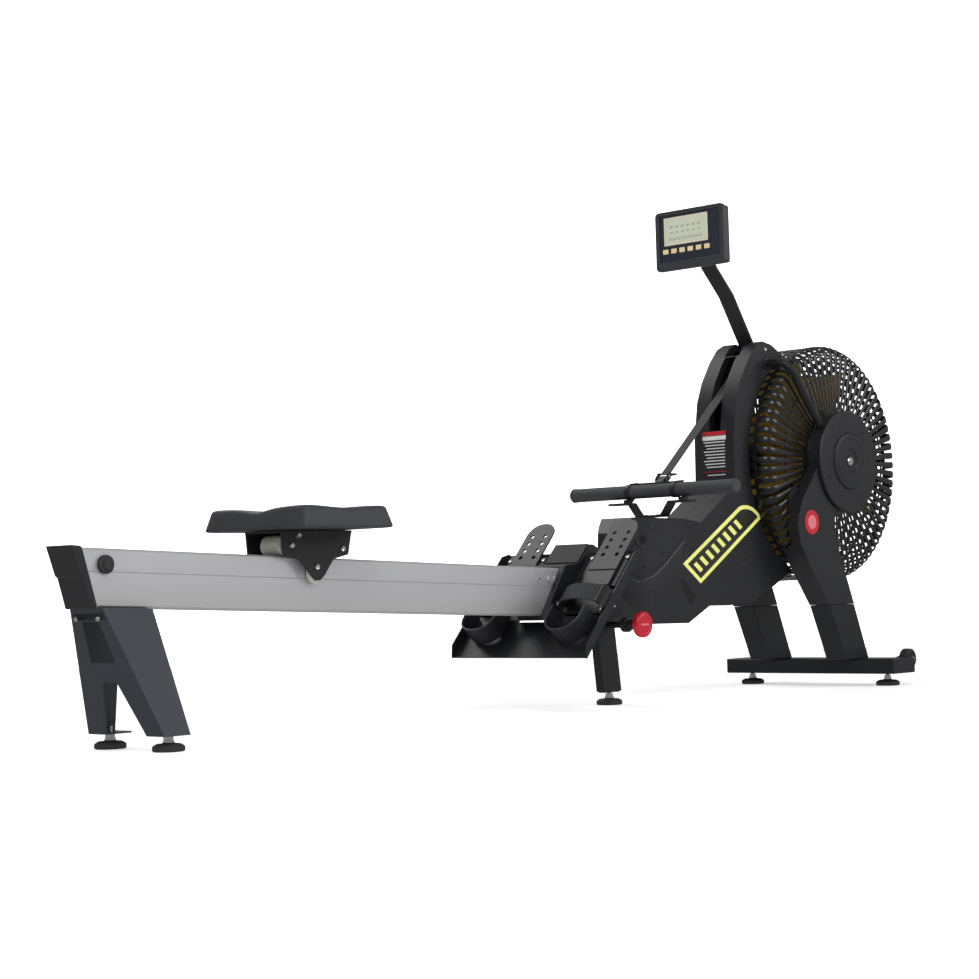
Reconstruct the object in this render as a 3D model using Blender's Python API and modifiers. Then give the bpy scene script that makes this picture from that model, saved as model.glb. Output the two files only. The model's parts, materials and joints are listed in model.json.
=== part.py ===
"""Air-resistance rowing machine, modelled in metres.

+X runs from the seat end to the fan, +Y is the machine's left side, +Z is up and the floor is z = 0.
Every sub-part is one named, closed object. Moving pieces have their origin on their joint.
"""
import bpy
import bmesh
import math
from mathutils import Matrix, Vector

# ---- driving dimensions (metres; x is measured from the machine's datum, see CENTRE_X)
CENTRE_X = 0.02175
GAP = 0.0004
SEG = 32

RAIL_TOP_REAR = 0.3416
RAIL_SLOPE = 0.042
RAIL_REAR_X = -1.0525
RAIL_HALF_W = 0.033
RAIL_HEIGHT = 0.100
RAIL_WALL = 0.003
RAIL_FRONT_X = 0.100

REAR_FOOT = (-1.0525, 0.0794)
MID_FOOT_X = 0.2251
FRONT_FOOT = (1.0348, 0.195)
PAD_R = 0.028
STUD_R = 0.005

STAB_X0 = 0.989
STAB_X1 = 1.085
STAB_HALF_W = 0.241
STAB_Z0 = 0.029
STAB_Z1 = 0.064
WHEEL_C = (1.1115, 0.205, 0.060)
WHEEL_R = 0.024

FAN_C = (0.977, 0.535)
CAGE_R = 0.281
CAGE_HALF_W = 0.108
FAN_R = 0.250
HUB_R = 0.1215
HUB_FACE = 0.147
ARM_IN = 0.082
ARM_OUT = 0.138

SHELL_HALF_W = 0.0565
SHELL_WALL = 0.003
HANDLE = (0.401, 0.464)
HANDLE_R = 0.0155
HANDLE_HALF = 0.2315
CONSOLE_C = (0.568, 1.049)
CONSOLE_SIZE = (0.030, 0.194, 0.138)

DECK_P0 = (-0.068, 0.113)
DECK_ANGLE = math.radians(48.0)
DECK_LEN = 0.287
DECK_HALF_W = 0.185
FOOT_Y = 0.115
FOOT_W = 0.086
TOE_HALF_W = 0.037
# Plan lines that narrow the rear of the housing (x, half width at each end)
NOSE_FACETS = ((0.195, 0.003, 0.255, 0.039), (0.230, 0.02825, 0.310, 0.05925), (0.270, 0.0484, 0.360, 0.0624))

SEAT_C = (-0.669, 0.375)
SEAT_HALF_W = 0.145
CARRIAGE_X = -0.670
ROLLER_R = 0.0195

MATERIALS = {}


def rail_top(x):
    """Height of the rail's top face at x."""
    return RAIL_TOP_REAR - RAIL_SLOPE * (x - RAIL_REAR_X)


# ---- scene helpers
def clear_scene():
    for obj in list(bpy.data.objects):
        bpy.data.objects.remove(obj, do_unlink=True)


def make_collection(name):
    coll = bpy.data.collections.new(name)
    bpy.context.scene.collection.children.link(coll)
    return coll


def material(name, colour, roughness, metallic=0.0):
    mat = bpy.data.materials.new(name)
    mat.use_nodes = True
    shader = mat.node_tree.nodes["Principled BSDF"]
    shader.inputs["Base Color"].default_value = (*colour, 1.0)
    shader.inputs["Roughness"].default_value = roughness
    shader.inputs["Metallic"].default_value = metallic
    mat.diffuse_color = (*colour, 1.0)
    MATERIALS[name] = mat
    return mat


def make_materials():
    material("aluminium", (0.62, 0.62, 0.64), 0.34, 0.9)
    material("housing_plastic", (0.030, 0.031, 0.034), 0.42)
    material("frame_paint", (0.045, 0.050, 0.060), 0.45, 0.2)
    material("guard_plastic", (0.015, 0.015, 0.017), 0.38)
    material("blade_plastic", (0.42, 0.27, 0.04), 0.42)
    material("rubber", (0.022, 0.022, 0.023), 0.75)
    material("seat_foam", (0.050, 0.052, 0.060), 0.65)
    material("steel", (0.60, 0.60, 0.60), 0.30, 1.0)
    material("grip_foam", (0.035, 0.036, 0.040), 0.80)
    material("webbing", (0.050, 0.050, 0.052), 0.85)
    material("red_plastic", (0.62, 0.02, 0.035), 0.35)
    material("screen", (0.55, 0.58, 0.45), 0.25)
    material("button_plastic", (0.75, 0.62, 0.38), 0.45)
    material("roller_plastic", (0.55, 0.53, 0.48), 0.40)


def link_mesh(bm, name, mat, location=(0.0, 0.0, 0.0)):
    """Close a bmesh into a named object whose origin is at location."""
    bmesh.ops.remove_doubles(bm, verts=bm.verts, dist=1e-6)
    bmesh.ops.recalc_face_normals(bm, faces=bm.faces)
    mesh = bpy.data.meshes.new(name)
    bm.to_mesh(mesh)
    bm.free()
    mesh.materials.append(MATERIALS[mat])
    obj = bpy.data.objects.new(name, mesh)
    place(obj, location)
    COLL.objects.link(obj)
    return obj


def place(obj, location):
    """Put an object at a point measured from the machine's datum."""
    obj.location = Vector(location) - Vector((CENTRE_X, 0.0, 0.0))


def prism_bm(points, y0, y1):
    """Closed solid from an outline in the XZ plane, spanning y0 to y1."""
    bm = bmesh.new()
    low = [bm.verts.new((x, y0, z)) for x, z in points]
    high = [bm.verts.new((x, y1, z)) for x, z in points]
    bm.faces.new(low)
    bm.faces.new(list(reversed(high)))
    n = len(points)
    for i in range(n):
        j = (i + 1) % n
        bm.faces.new((low[i], high[i], high[j], low[j]))
    return bm


def prism(name, mat, points, y0, y1, location=(0.0, 0.0, 0.0)):
    return link_mesh(prism_bm(points, y0, y1), name, mat, location)


def box(name, mat, size, location, rotation=(0.0, 0.0, 0.0)):
    bm = bmesh.new()
    bmesh.ops.create_cube(bm, size=1.0)
    bmesh.ops.scale(bm, vec=Vector(size), verts=bm.verts)
    obj = link_mesh(bm, name, mat, location)
    obj.rotation_euler = rotation
    return obj


def lathe_bm(profile, segments=SEG):
    """Solid of revolution about the Y axis from (radius, y) pairs; radius 0 closes an end."""
    bm = bmesh.new()
    rings = []
    for radius, y in profile:
        if radius < 1e-9:
            rings.append([bm.verts.new((0.0, y, 0.0))])
            continue
        ring = []
        for k in range(segments):
            a = 2.0 * math.pi * k / segments
            ring.append(bm.verts.new((radius * math.cos(a), y, radius * math.sin(a))))
        rings.append(ring)
    closed = len(rings[0]) > 1
    count = len(rings) if closed else len(rings) - 1
    for i in range(count):
        bridge(bm, rings[i], rings[(i + 1) % len(rings)], segments)
    return bm


def bridge(bm, a, b, segments):
    for k in range(segments):
        j = (k + 1) % segments
        if len(a) == 1 and len(b) == 1:
            return
        if len(a) == 1:
            bm.faces.new((a[0], b[k], b[j]))
        elif len(b) == 1:
            bm.faces.new((a[k], b[0], a[j]))
        else:
            bm.faces.new((a[k], b[k], b[j], a[j]))


def lathe(name, mat, profile, location, rotation=(0.0, 0.0, 0.0), segments=SEG):
    obj = link_mesh(lathe_bm(profile, segments), name, mat, location)
    obj.rotation_euler = rotation
    return obj


def tube(name, mat, path, radius, sides=12):
    """Round bar swept along a list of points, with flat ends."""
    bm = bmesh.new()
    pts = [Vector(p) for p in path]
    rings = []
    side = None
    for i, p in enumerate(pts):
        ahead = pts[min(i + 1, len(pts) - 1)] - p
        behind = p - pts[max(i - 1, 0)]
        tangent = (ahead.normalized() + behind.normalized()).normalized()
        if side is None:
            side = tangent.cross(Vector((0.0, 1.0, 0.3))).normalized()
        side = (side - tangent * side.dot(tangent)).normalized()
        up = tangent.cross(side)
        ring = []
        for k in range(sides):
            a = 2.0 * math.pi * k / sides
            ring.append(bm.verts.new(p + side * radius * math.cos(a) + up * radius * math.sin(a)))
        rings.append(ring)
    for i in range(len(rings) - 1):
        bridge(bm, rings[i], rings[i + 1], sides)
    bm.faces.new(rings[0])
    bm.faces.new(list(reversed(rings[-1])))
    return link_mesh(bm, name, mat)


def arc_points(centre, radius, start_deg, end_deg, count):
    """Points on an arc in the XZ plane."""
    out = []
    for k in range(count):
        a = math.radians(start_deg + (end_deg - start_deg) * k / (count - 1))
        out.append((centre[0] + radius * math.cos(a), centre[1] + radius * math.sin(a)))
    return out


def cutter(obj):
    """Keep a cutter out of the machine's collection."""
    COLL.objects.unlink(obj)
    CUT.objects.link(obj)
    obj.hide_render = True
    obj.display_type = "WIRE"
    return obj


def boolean(obj, other, operation="DIFFERENCE"):
    mod = obj.modifiers.new(operation.lower() + "_" + other.name, "BOOLEAN")
    mod.operation = operation
    mod.solver = "EXACT"
    mod.object = other
    return mod


def cut(obj, other):
    return boolean(obj, cutter(other), "DIFFERENCE")


def join(obj, other):
    return boolean(obj, cutter(other), "UNION")


def cut_z_hole(obj, x, y, radius, z0, z1):
    profile = [(0.0, z0), (radius, z0), (radius, z1), (0.0, z1)]
    rot = (math.radians(90.0), 0.0, 0.0)
    cut(obj, lathe(obj.name + "_hole", "steel", profile, (x, y, 0.0), rot, segments=24))


def both_sides(make):
    """Build a piece for the near (-Y) and the far (+Y) side."""
    for side, tag in ((-1.0, "near"), (1.0, "far")):
        make(side, tag)


def side_prism(name, mat, points, y_in, y_out, side):
    lo = min(side * y_in, side * y_out)
    hi = max(side * y_in, side * y_out)
    return prism(name, mat, points, lo, hi)


# ---- rail, its end cap and the rear leg
def make_rail():
    x0 = -1.1890
    x1 = -1.1595
    outer = [(x0, rail_top(x0)), (RAIL_FRONT_X, rail_top(RAIL_FRONT_X))]
    outer += [(RAIL_FRONT_X, rail_top(RAIL_FRONT_X) - RAIL_HEIGHT), (x1, rail_top(x1) - RAIL_HEIGHT)]
    rail = prism("rail", "aluminium", outer, -RAIL_HALF_W, RAIL_HALF_W)
    w = RAIL_WALL
    inner = [(-1.3, rail_top(-1.3) - w), (0.2, rail_top(0.2) - w)]
    inner += [(0.2, rail_top(0.2) - RAIL_HEIGHT + w), (-1.3, rail_top(-1.3) - RAIL_HEIGHT + w)]
    cut(rail, prism("rail_bore", "steel", inner, -RAIL_HALF_W + w, RAIL_HALF_W - w))


def make_rail_cap():
    points = [(-1.2145, 0.3515), (-1.1906, 0.3500), (-1.1606, 0.2455)]
    points += [(-1.1760, 0.2440), (-1.1920, 0.2975), (-1.1965, 0.3000)]
    prism("rail_end_cap", "housing_plastic", points, -0.0345, 0.0345)


def make_rail_stop(side, tag):
    y = side * (RAIL_HALF_W + GAP)
    profile = [(0.0, y), (0.016, y), (0.016, y + side * 0.006), (0.010, y + side * 0.008)]
    profile += [(0.010, y + side * 0.013), (0.0, y + side * 0.013)]
    lathe("rail_stop_" + tag, "rubber", profile, (-1.143, 0.0, 0.318))


def quad_block(name, mat, low, high):
    """Six-sided block from four low and four high corners."""
    bm = bmesh.new()
    a = [bm.verts.new(p) for p in low]
    b = [bm.verts.new(p) for p in high]
    bm.faces.new(a)
    bm.faces.new(b)
    for i in range(4):
        j = (i + 1) % 4
        bm.faces.new((a[i], a[j], b[j], b[i]))
    return link_mesh(bm, name, mat)


def leg_section(x0, x1, half, z):
    return [(x0, -half, z), (x1, -half, z), (x1, half, z), (x0, half, z)]


def make_rear_leg():
    top = []
    for x, y in ((-1.1585, -0.045), (-1.0525, -0.045), (-1.0525, 0.045), (-1.1585, 0.045)):
        top.append((x, y, rail_top(x) - RAIL_HEIGHT - GAP))
    leg = quad_block("rear_leg", "frame_paint", leg_section(-1.080, -1.024, 0.104, 0.0265), top)
    inner_top = leg_section(-1.1555, -1.000, 0.042, 0.2365)
    cut(leg, quad_block("rear_leg_inside", "steel", leg_section(-1.0765, -0.980, 0.101, 0.0297), inner_top))
    gap_top = leg_section(-1.22, -1.0, 0.020, 0.118)
    cut(leg, quad_block("rear_leg_gap", "steel", leg_section(-1.22, -1.0, 0.066, 0.0), gap_top))
    win_top = leg_section(-1.22, -1.10, 0.022, 0.222)
    cut(leg, quad_block("rear_leg_window", "steel", leg_section(-1.22, -1.10, 0.034, 0.152), win_top))
    for side in (-1.0, 1.0):
        cut_z_hole(leg, REAR_FOOT[0], side * REAR_FOOT[1], STUD_R + 0.001, 0.0, 0.05)


def make_foot(name, x, y, stud_top):
    """Levelling foot: rubber pad, nut and stud in one piece, with its axis on Z."""
    profile = [(0.0, 0.0), (PAD_R - 0.002, 0.0), (PAD_R, 0.002), (PAD_R, 0.009), (PAD_R - 0.006, 0.013)]
    profile += [(0.010, 0.014), (0.010, 0.018), (0.0085, 0.0185), (0.0085, 0.0245)]
    profile += [(STUD_R, 0.0250), (STUD_R, stud_top), (0.0, stud_top)]
    lathe(name, "rubber", profile, (x, y, 0.0), (math.radians(90.0), 0.0, 0.0), 24)


def make_mid_leg():
    points = [(0.195, 0.029), (0.2555, 0.029), (0.2360, 0.1885), (0.1760, 0.1885)]
    leg = prism("mid_leg", "frame_paint", points, -0.0105, 0.0105)
    cut_z_hole(leg, MID_FOOT_X, 0.0, STUD_R + 0.001, 0.0, 0.060)


def make_release_knob():
    profile = [(0.0, -0.112), (0.024, -0.112), (0.028, -0.108), (0.028, -0.098), (0.022, -0.094)]
    profile += [(0.011, -0.094), (0.011, -0.066), (0.016, -0.066), (0.016, -0.052), (0.007, -0.052)]
    profile += [(0.007, -0.0110), (0.0, -0.0110)]
    lathe("release_knob", "red_plastic", profile, (0.218, 0.0, 0.172))


# ---- stabiliser, transport wheels and front legs
def make_stabiliser():
    w = STAB_HALF_W
    size = (STAB_X1 - STAB_X0, 2 * w, STAB_Z1 - STAB_Z0)
    centre = ((STAB_X0 + STAB_X1) / 2, 0.0, (STAB_Z0 + STAB_Z1) / 2)
    stab = box("front_stabiliser", "frame_paint", size, centre)
    stab.modifiers.new("edge", "BEVEL").width = 0.002
    cut(stab, box("tube_bore", "steel", (size[0] - 0.006, 0.6, size[2] - 0.006), centre))
    for side in (-1.0, 1.0):
        cut_z_hole(stab, FRONT_FOOT[0], side * FRONT_FOOT[1], STUD_R + 0.001, 0.0, 0.054)
    for side in (-1.0, 1.0):
        for offset in (-0.014, 0.014):
            ear = prism("ear", "steel", wheel_ear_outline(centre), -0.0015, 0.0015)
            place(ear, (centre[0], side * WHEEL_C[1] + offset, centre[2]))
            join(stab, ear)
        pin = [(0.0, -0.014), (0.004, -0.014), (0.004, 0.014), (0.0, 0.014)]
        join(stab, lathe("wheel_pin", "steel", pin, (WHEEL_C[0], side * WHEEL_C[1], WHEEL_C[2]), segments=16))


def wheel_ear_outline(centre):
    x = WHEEL_C[0] - centre[0]
    z = WHEEL_C[2] - centre[2]
    return [(0.040, -0.016), (x, z - 0.010), (x + 0.009, z), (x, z + 0.010), (0.040, 0.017)]


def make_wheel(side, tag):
    r = WHEEL_R
    profile = [(0.0045, -0.011), (r - 0.003, -0.011), (r, -0.008), (r, 0.008), (r - 0.003, 0.011), (0.0045, 0.011)]
    lathe("transport_wheel_" + tag, "rubber", profile, (WHEEL_C[0], side * WHEEL_C[1], WHEEL_C[2]))


def make_front_leg(side, tag):
    points = [(0.8845, 0.1955), (0.9905, 0.1955), (1.046, STAB_Z1 + GAP), (0.948, STAB_Z1 + GAP)]
    leg = side_prism("front_leg_" + tag, "frame_paint", points, ARM_IN, ARM_OUT, side)
    bore = [(0.8815, 0.2100), (0.9804, 0.2100), (1.0481, 0.0500), (0.9590, 0.0500)]
    cut(leg, side_prism("leg_bore_" + tag, "steel", bore, ARM_IN + 0.004, ARM_OUT - 0.004, side))


def make_arm_cover(side, tag):
    points = [(0.8840, 0.1960), (0.812, 0.285), (0.773, 0.343), (0.764, 0.387), (0.787, 0.440)]
    points += [(0.868, 0.535), (0.980, 0.535), (0.987, 0.479), (0.917, 0.406), (0.911, 0.372)]
    points += [(0.965, 0.253), (0.9903, 0.1960)]
    arm = side_prism("arm_cover_" + tag, "housing_plastic", points, ARM_IN, ARM_OUT, side)
    root = [(0.772, 0.455), (0.800, 0.480), (0.835, 0.440), (0.835, 0.296), (0.812, 0.300), (0.776, 0.350)]
    join(arm, side_prism("arm_root", "steel", root, SHELL_HALF_W + GAP, 0.1105, side))
    half = CAGE_HALF_W + 0.0015
    drum = [(0.0, -half), (CAGE_R + 0.0015, -half), (CAGE_R + 0.0015, half), (0.0, half)]
    cut(arm, lathe("cage_space", "steel", drum, (FAN_C[0], 0.0, FAN_C[1]), segments=64))
    a = side * 0.100
    b = side * 0.200
    hub = [(0.0, a), (HUB_R + GAP, a), (HUB_R + GAP, b), (0.0, b)]
    cut(arm, lathe("hub_space", "steel", hub, (FAN_C[0], 0.0, FAN_C[1]), segments=48))


def make_hub_cover(side, tag):
    y0 = side * (CAGE_HALF_W + GAP)
    y1 = side * (HUB_FACE - 0.009)
    y2 = side * HUB_FACE
    profile = [(0.0, y0), (0.1165, y0), (0.1165, y1), (HUB_R, y1), (HUB_R, y2 - side * 0.003)]
    profile += [(HUB_R - 0.004, y2), (0.070, y2), (0.066, y2 + side * 0.004), (0.030, y2 + side * 0.005)]
    profile += [(0.026, y2 + side * 0.002), (0.0, y2 + side * 0.002)]
    lathe("hub_cover_" + tag, "housing_plastic", profile, (FAN_C[0], 0.0, FAN_C[1]), segments=48)


def make_brace(side, tag):
    path = [(0.780, side * 0.0572, 0.766), (0.780, side * 0.080, 0.766), (0.782, side * 0.104, 0.762)]
    path += [(0.796, side * 0.1205, 0.739), (0.822, side * 0.1240, 0.699), (0.891, side * 0.1255, 0.6195)]
    tube("brace_" + tag, "frame_paint", path, 0.0095)


# ---- fan
def make_guard(side, tag):
    """Dish-shaped half guard with radial slots."""
    y0 = side * 0.070
    y1 = side * CAGE_HALF_W
    t = 0.003
    profile = [(CAGE_R, y0), (CAGE_R, y1 - side * 0.014), (CAGE_R - 0.006, y1 - side * 0.004), (CAGE_R - 0.016, y1)]
    profile += [(0.020, y1), (0.020, y1 - side * t), (CAGE_R - 0.017, y1 - side * t)]
    profile += [(CAGE_R - t - 0.004, y1 - side * 0.007), (CAGE_R - t, y1 - side * 0.015), (CAGE_R - t, y0)]
    guard = lathe("fan_guard_" + tag, "guard_plastic", profile, (FAN_C[0], 0.0, FAN_C[1]), segments=48)
    slots = bmesh.new()
    for k in range(24):
        for r0, r1, w in ((0.128, 0.185, 0.020), (0.192, 0.262, 0.026)):
            geom = bmesh.ops.create_cube(slots, size=1.0)["verts"]
            bmesh.ops.scale(slots, vec=Vector((r1 - r0, 0.05, w)), verts=geom)
            bmesh.ops.translate(slots, vec=Vector(((r0 + r1) / 2, y1, 0.0)), verts=geom)
            turn = Matrix.Rotation(2.0 * math.pi * k / 24, 3, "Y")
            bmesh.ops.rotate(slots, matrix=turn, verts=geom, cent=(0.0, 0.0, 0.0))
    cut(guard, link_mesh(slots, "slots_" + tag, "steel", (FAN_C[0], 0.0, FAN_C[1])))


def make_band():
    r1 = CAGE_R - 0.0005
    profile = [(r1 - 0.002, -0.0695), (r1, -0.0695), (r1, 0.0695), (r1 - 0.002, 0.0695)]
    lathe("fan_band", "guard_plastic", profile, (FAN_C[0], 0.0, FAN_C[1]), segments=48)


def make_rotor():
    """Hub and vanes of the fan, turning on the axle."""
    profile = [(0.0105, -0.090), (0.045, -0.090), (0.060, -0.070), (0.060, 0.070), (0.045, 0.090), (0.0105, 0.090)]
    rotor = lathe("fan_rotor", "blade_plastic", profile, (FAN_C[0], 0.0, FAN_C[1]))
    vanes = bmesh.new()
    for k in range(8):
        geom = bmesh.ops.create_cube(vanes, size=1.0)["verts"]
        bmesh.ops.scale(vanes, vec=Vector((FAN_R - 0.055, 0.13, 0.003)), verts=geom)
        bmesh.ops.translate(vanes, vec=Vector(((FAN_R + 0.055) / 2, 0.0, 0.0)), verts=geom)
        turn = Matrix.Rotation(2.0 * math.pi * k / 8 + math.radians(27.0), 3, "Y")
        bmesh.ops.rotate(vanes, matrix=turn, verts=geom, cent=(0.0, 0.0, 0.0))
    join(rotor, link_mesh(vanes, "vanes", "blade_plastic", (FAN_C[0], 0.0, FAN_C[1])))


def make_axle():
    profile = [(0.0, -0.107), (0.010, -0.107), (0.010, 0.107), (0.0, 0.107)]
    lathe("fan_axle", "steel", profile, (FAN_C[0], 0.0, FAN_C[1]), segments=24)


# ---- housing
def housing_outline():
    points = [(0.232, 0.236), (0.319, 0.170), (0.444, 0.168), (0.528, 0.206), (0.597, 0.203), (0.695, 0.210)]
    points += [(0.780, 0.245), (0.900, 0.300), (0.900, 0.740), (0.845, 0.790), (0.800, 0.812), (0.765, 0.818)]
    points += [(0.738, 0.806), (0.706, 0.772), (0.672, 0.722), (0.652, 0.675), (0.638, 0.586), (0.636, 0.480)]
    points += [(0.500, 0.392), (0.440, 0.400), (0.270, 0.403), (0.238, 0.370), (0.225, 0.310)]
    return points


def make_shell(side, tag):
    shell = side_prism("housing_" + tag, "housing_plastic", housing_outline(), GAP / 2, SHELL_HALF_W, side)
    pocket = [(0.336, 0.190), (0.440, 0.184), (0.524, 0.222), (0.690, 0.226), (0.760, 0.256)]
    pocket += [(0.860, 0.310), (0.860, 0.740), (0.790, 0.795), (0.765, 0.800), (0.720, 0.764), (0.690, 0.715)]
    pocket += [(0.670, 0.672), (0.657, 0.586), (0.655, 0.468), (0.505, 0.372), (0.336, 0.383)]
    cut(shell, side_prism("pocket_" + tag, "steel", pocket, -0.01, SHELL_HALF_W - SHELL_WALL, side))
    drum = [(0.0, -0.1), (CAGE_R + 0.002, -0.1), (CAGE_R + 0.002, 0.1), (0.0, 0.1)]
    cut(shell, lathe("drum_" + tag, "steel", drum, (FAN_C[0], 0.0, FAN_C[1]), segments=64))
    slot = [(0.60, 0.600), (0.72, 0.600), (0.76, 0.783), (0.66, 0.783)]
    cut(shell, side_prism("strap_slot_" + tag, "steel", slot, -0.01, 0.016, side))
    arm = [(0.700, 0.790), (0.812, 0.760), (0.812, 0.860), (0.700, 0.860)]
    cut(shell, side_prism("arm_slot_" + tag, "steel", arm, -0.01, 0.0205, side))
    round_nose(shell, side, tag)


def round_nose(shell, side, tag):
    """Narrow the rear of the housing in plan with three facets."""
    for i, (x0, y0, x1, y1) in enumerate(NOSE_FACETS):
        corners = [(x0, side * y0), (x1, side * y1), (x1, side * 0.12), (x0, side * 0.12)]
        low = [(x, y, 0.10) for x, y in corners]
        high = [(x, y, 0.45) for x, y in corners]
        cut(shell, quad_block("nose_cut_%s_%d" % (tag, i), "steel", low, high))


def make_reels():
    profile = [(0.0, -0.014), (0.018, -0.014), (0.018, 0.014), (0.0, 0.014)]
    lathe("strap_roller", "roller_plastic", profile, (0.736, 0.0, 0.7225), segments=24)
    profile = [(0.0, -0.018), (0.055, -0.018), (0.055, -0.014), (0.045, -0.014), (0.045, 0.014)]
    profile += [(0.055, 0.014), (0.055, 0.018), (0.0, 0.018)]
    lathe("strap_reel", "roller_plastic", profile, (0.560, 0.0, 0.320))


# ---- handle, strap and hook
def make_handle():
    r = HANDLE_R
    h = HANDLE_HALF
    profile = [(0.0, -h), (r - 0.003, -h), (r, -h + 0.004), (r, h - 0.004), (r - 0.003, h), (0.0, h)]
    handle = lathe("handle", "grip_foam", profile, (HANDLE[0], 0.0, HANDLE[1]), segments=24)
    for side in (-1.0, 1.0):
        lug = side_prism("lug", "steel", [(-0.004, -0.004), (0.026, 0.006), (0.026, 0.022), (0.004, 0.020)], 0.060, 0.068, side)
        place(lug, (HANDLE[0], 0.0, HANDLE[1]))
        join(handle, lug)
    join_yoke(handle)


def join_yoke(handle):
    x, z = HANDLE
    points = [(x + 0.0205, z + 0.0085), (x + 0.0255, z + 0.0085), (x + 0.0255, z + 0.0205), (x + 0.0205, z + 0.0205)]
    join(handle, prism("yoke_bar", "steel", points, -0.0640, 0.0640))
    arm = [(x + 0.022, z + 0.010), (x + 0.040, z + 0.026), (x + 0.036, z + 0.032), (x + 0.021, z + 0.019)]
    join(handle, prism("yoke_arm", "steel", arm, -0.010, 0.010))


def make_strap():
    a = Vector((0.442, 0.496))
    b = Vector((0.722, 0.7370))
    n = Vector((a.y - b.y, b.x - a.x)).normalized() * 0.0012
    points = [tuple(a - n), tuple(b - n), tuple(b + n), tuple(a + n)]
    prism("strap", "webbing", points, -0.0125, 0.0125)


def make_hook():
    t = 0.005
    x0 = 0.380
    x1 = 0.412
    path = [(-0.112, 0.440), (-0.056, 0.440), (-0.034, 0.410), (0.034, 0.410), (0.056, 0.440), (0.112, 0.440)]
    bm = bmesh.new()
    top = path
    low = [(y, z - t) for y, z in path]
    ring = top + list(reversed(low))
    a = [bm.verts.new((x0, y, z)) for y, z in ring]
    b = [bm.verts.new((x1, y, z)) for y, z in ring]
    n = len(path)
    for i in range(n - 1):
        bm.faces.new((a[i], a[i + 1], a[2 * n - 2 - i], a[2 * n - 1 - i]))
        bm.faces.new((b[i], b[2 * n - 1 - i], b[2 * n - 2 - i], b[i + 1]))
    for i in range(2 * n):
        j = (i + 1) % (2 * n)
        bm.faces.new((a[i], b[i], b[j], a[j]))
    hook = link_mesh(bm, "handle_hook", "frame_paint")
    lip = [(0.400, 0.437), (0.4125, 0.437), (0.4300, 0.4520), (0.4290, 0.4600), (0.4230, 0.4600), (0.4100, 0.4475), (0.400, 0.4478)]
    for side in (-1.0, 1.0):
        join(hook, side_prism("hook_lip", "steel", lip, 0.071, 0.083, side))


# ---- console
def make_console():
    x, z = CONSOLE_C
    d, w, h = CONSOLE_SIZE
    back = box("console_back", "housing_plastic", (d - 0.010, w - 0.006, h - 0.006), (x + d / 2 + 0.0058, 0.0, z))
    back.modifiers.new("edge", "BEVEL").width = 0.004
    join(back, console_bracket())
    frame = box("console_bezel", "housing_plastic", (0.0105, w, h), (x + 0.0050, 0.0, z))
    cut(frame, box("bezel_space", "steel", (0.006, w - 0.022, h - 0.030), (x + 0.0005, 0.0, z + 0.006)))
    size = (0.0020, 0.118, 0.058)
    box("console_screen", "screen", size, (x + 0.0022, 0.011, z + 0.022))
    for k in range(6):
        y = 0.070 - 0.0236 * k
        box("button_%d" % (k + 1), "button_plastic", (0.0040, 0.0150, 0.0110), (x + 0.0025, y, z - 0.024))
        cut(frame, box("button_well", "steel", (0.006, 0.0156, 0.0116), (x + 0.0030, y, z - 0.024)))


def make_console_arm():
    """Flat bent bar from the housing to the back of the console."""
    path = [(0.6150, 1.0450), (0.6400, 0.9880), (0.7050, 0.9260), (0.7760, 0.8220), (0.8000, 0.7800)]
    t = 0.0035
    upper = []
    lower = []
    for i, p in enumerate(path):
        a = Vector(path[max(i - 1, 0)])
        b = Vector(path[min(i + 1, len(path) - 1)])
        d = (b - a).normalized()
        upper.append((p[0] - d.y * t, p[1] + d.x * t))
        lower.append((p[0] + d.y * t, p[1] - d.x * t))
    prism("console_arm", "frame_paint", upper + list(reversed(lower)), -0.020, 0.020)


def console_bracket():
    x = CONSOLE_C[0] + CONSOLE_SIZE[0] - 0.0040
    points = [(x, 1.070), (x, 1.020), (0.6080, 1.020), (0.6080, 1.0500), (0.6060, 1.070)]
    return prism("console_bracket", "frame_paint", points, -0.016, 0.016)


# ---- foot deck
def deck_point(a, b):
    c = math.cos(DECK_ANGLE)
    s = math.sin(DECK_ANGLE)
    return (DECK_P0[0] + a * c - b * s, DECK_P0[1] + a * s + b * c)


def deck_poly(pairs):
    return [deck_point(a, b) for a, b in pairs]


def make_deck():
    t = 0.0025
    w = DECK_HALF_W
    deck = prism("foot_deck", "frame_paint", deck_poly([(0, 0), (DECK_LEN, 0), (DECK_LEN, t), (0, t)]), 0.001 - w, w - 0.001)
    for side in (-1.0, 1.0):
        end = DECK_LEN + 0.0005
        lip = deck_poly([(-0.0005, -0.0005), (end, -0.0005), (end, 0.006), (end - 0.02, 0.020), (0.02, 0.020), (-0.0005, 0.0045)])
        join(deck, side_prism("lip", "steel", lip, w - t - 0.0005, w, side))
        base = deck_poly([(0.110, 0.0010), (0.280, 0.0010), (0.280, 0.0100), (0.110, 0.0100)])
        y0 = FOOT_Y - FOOT_W / 2 + 0.004
        join(deck, side_prism("foot_base", "steel", base, y0, y0 + FOOT_W - 0.008, side))
    cut(deck, prism("deck_notch", "steel", deck_poly([(0.095, -0.1), (0.4, -0.1), (0.4, 0.1), (0.095, 0.1)]), -0.050, 0.050))


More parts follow.
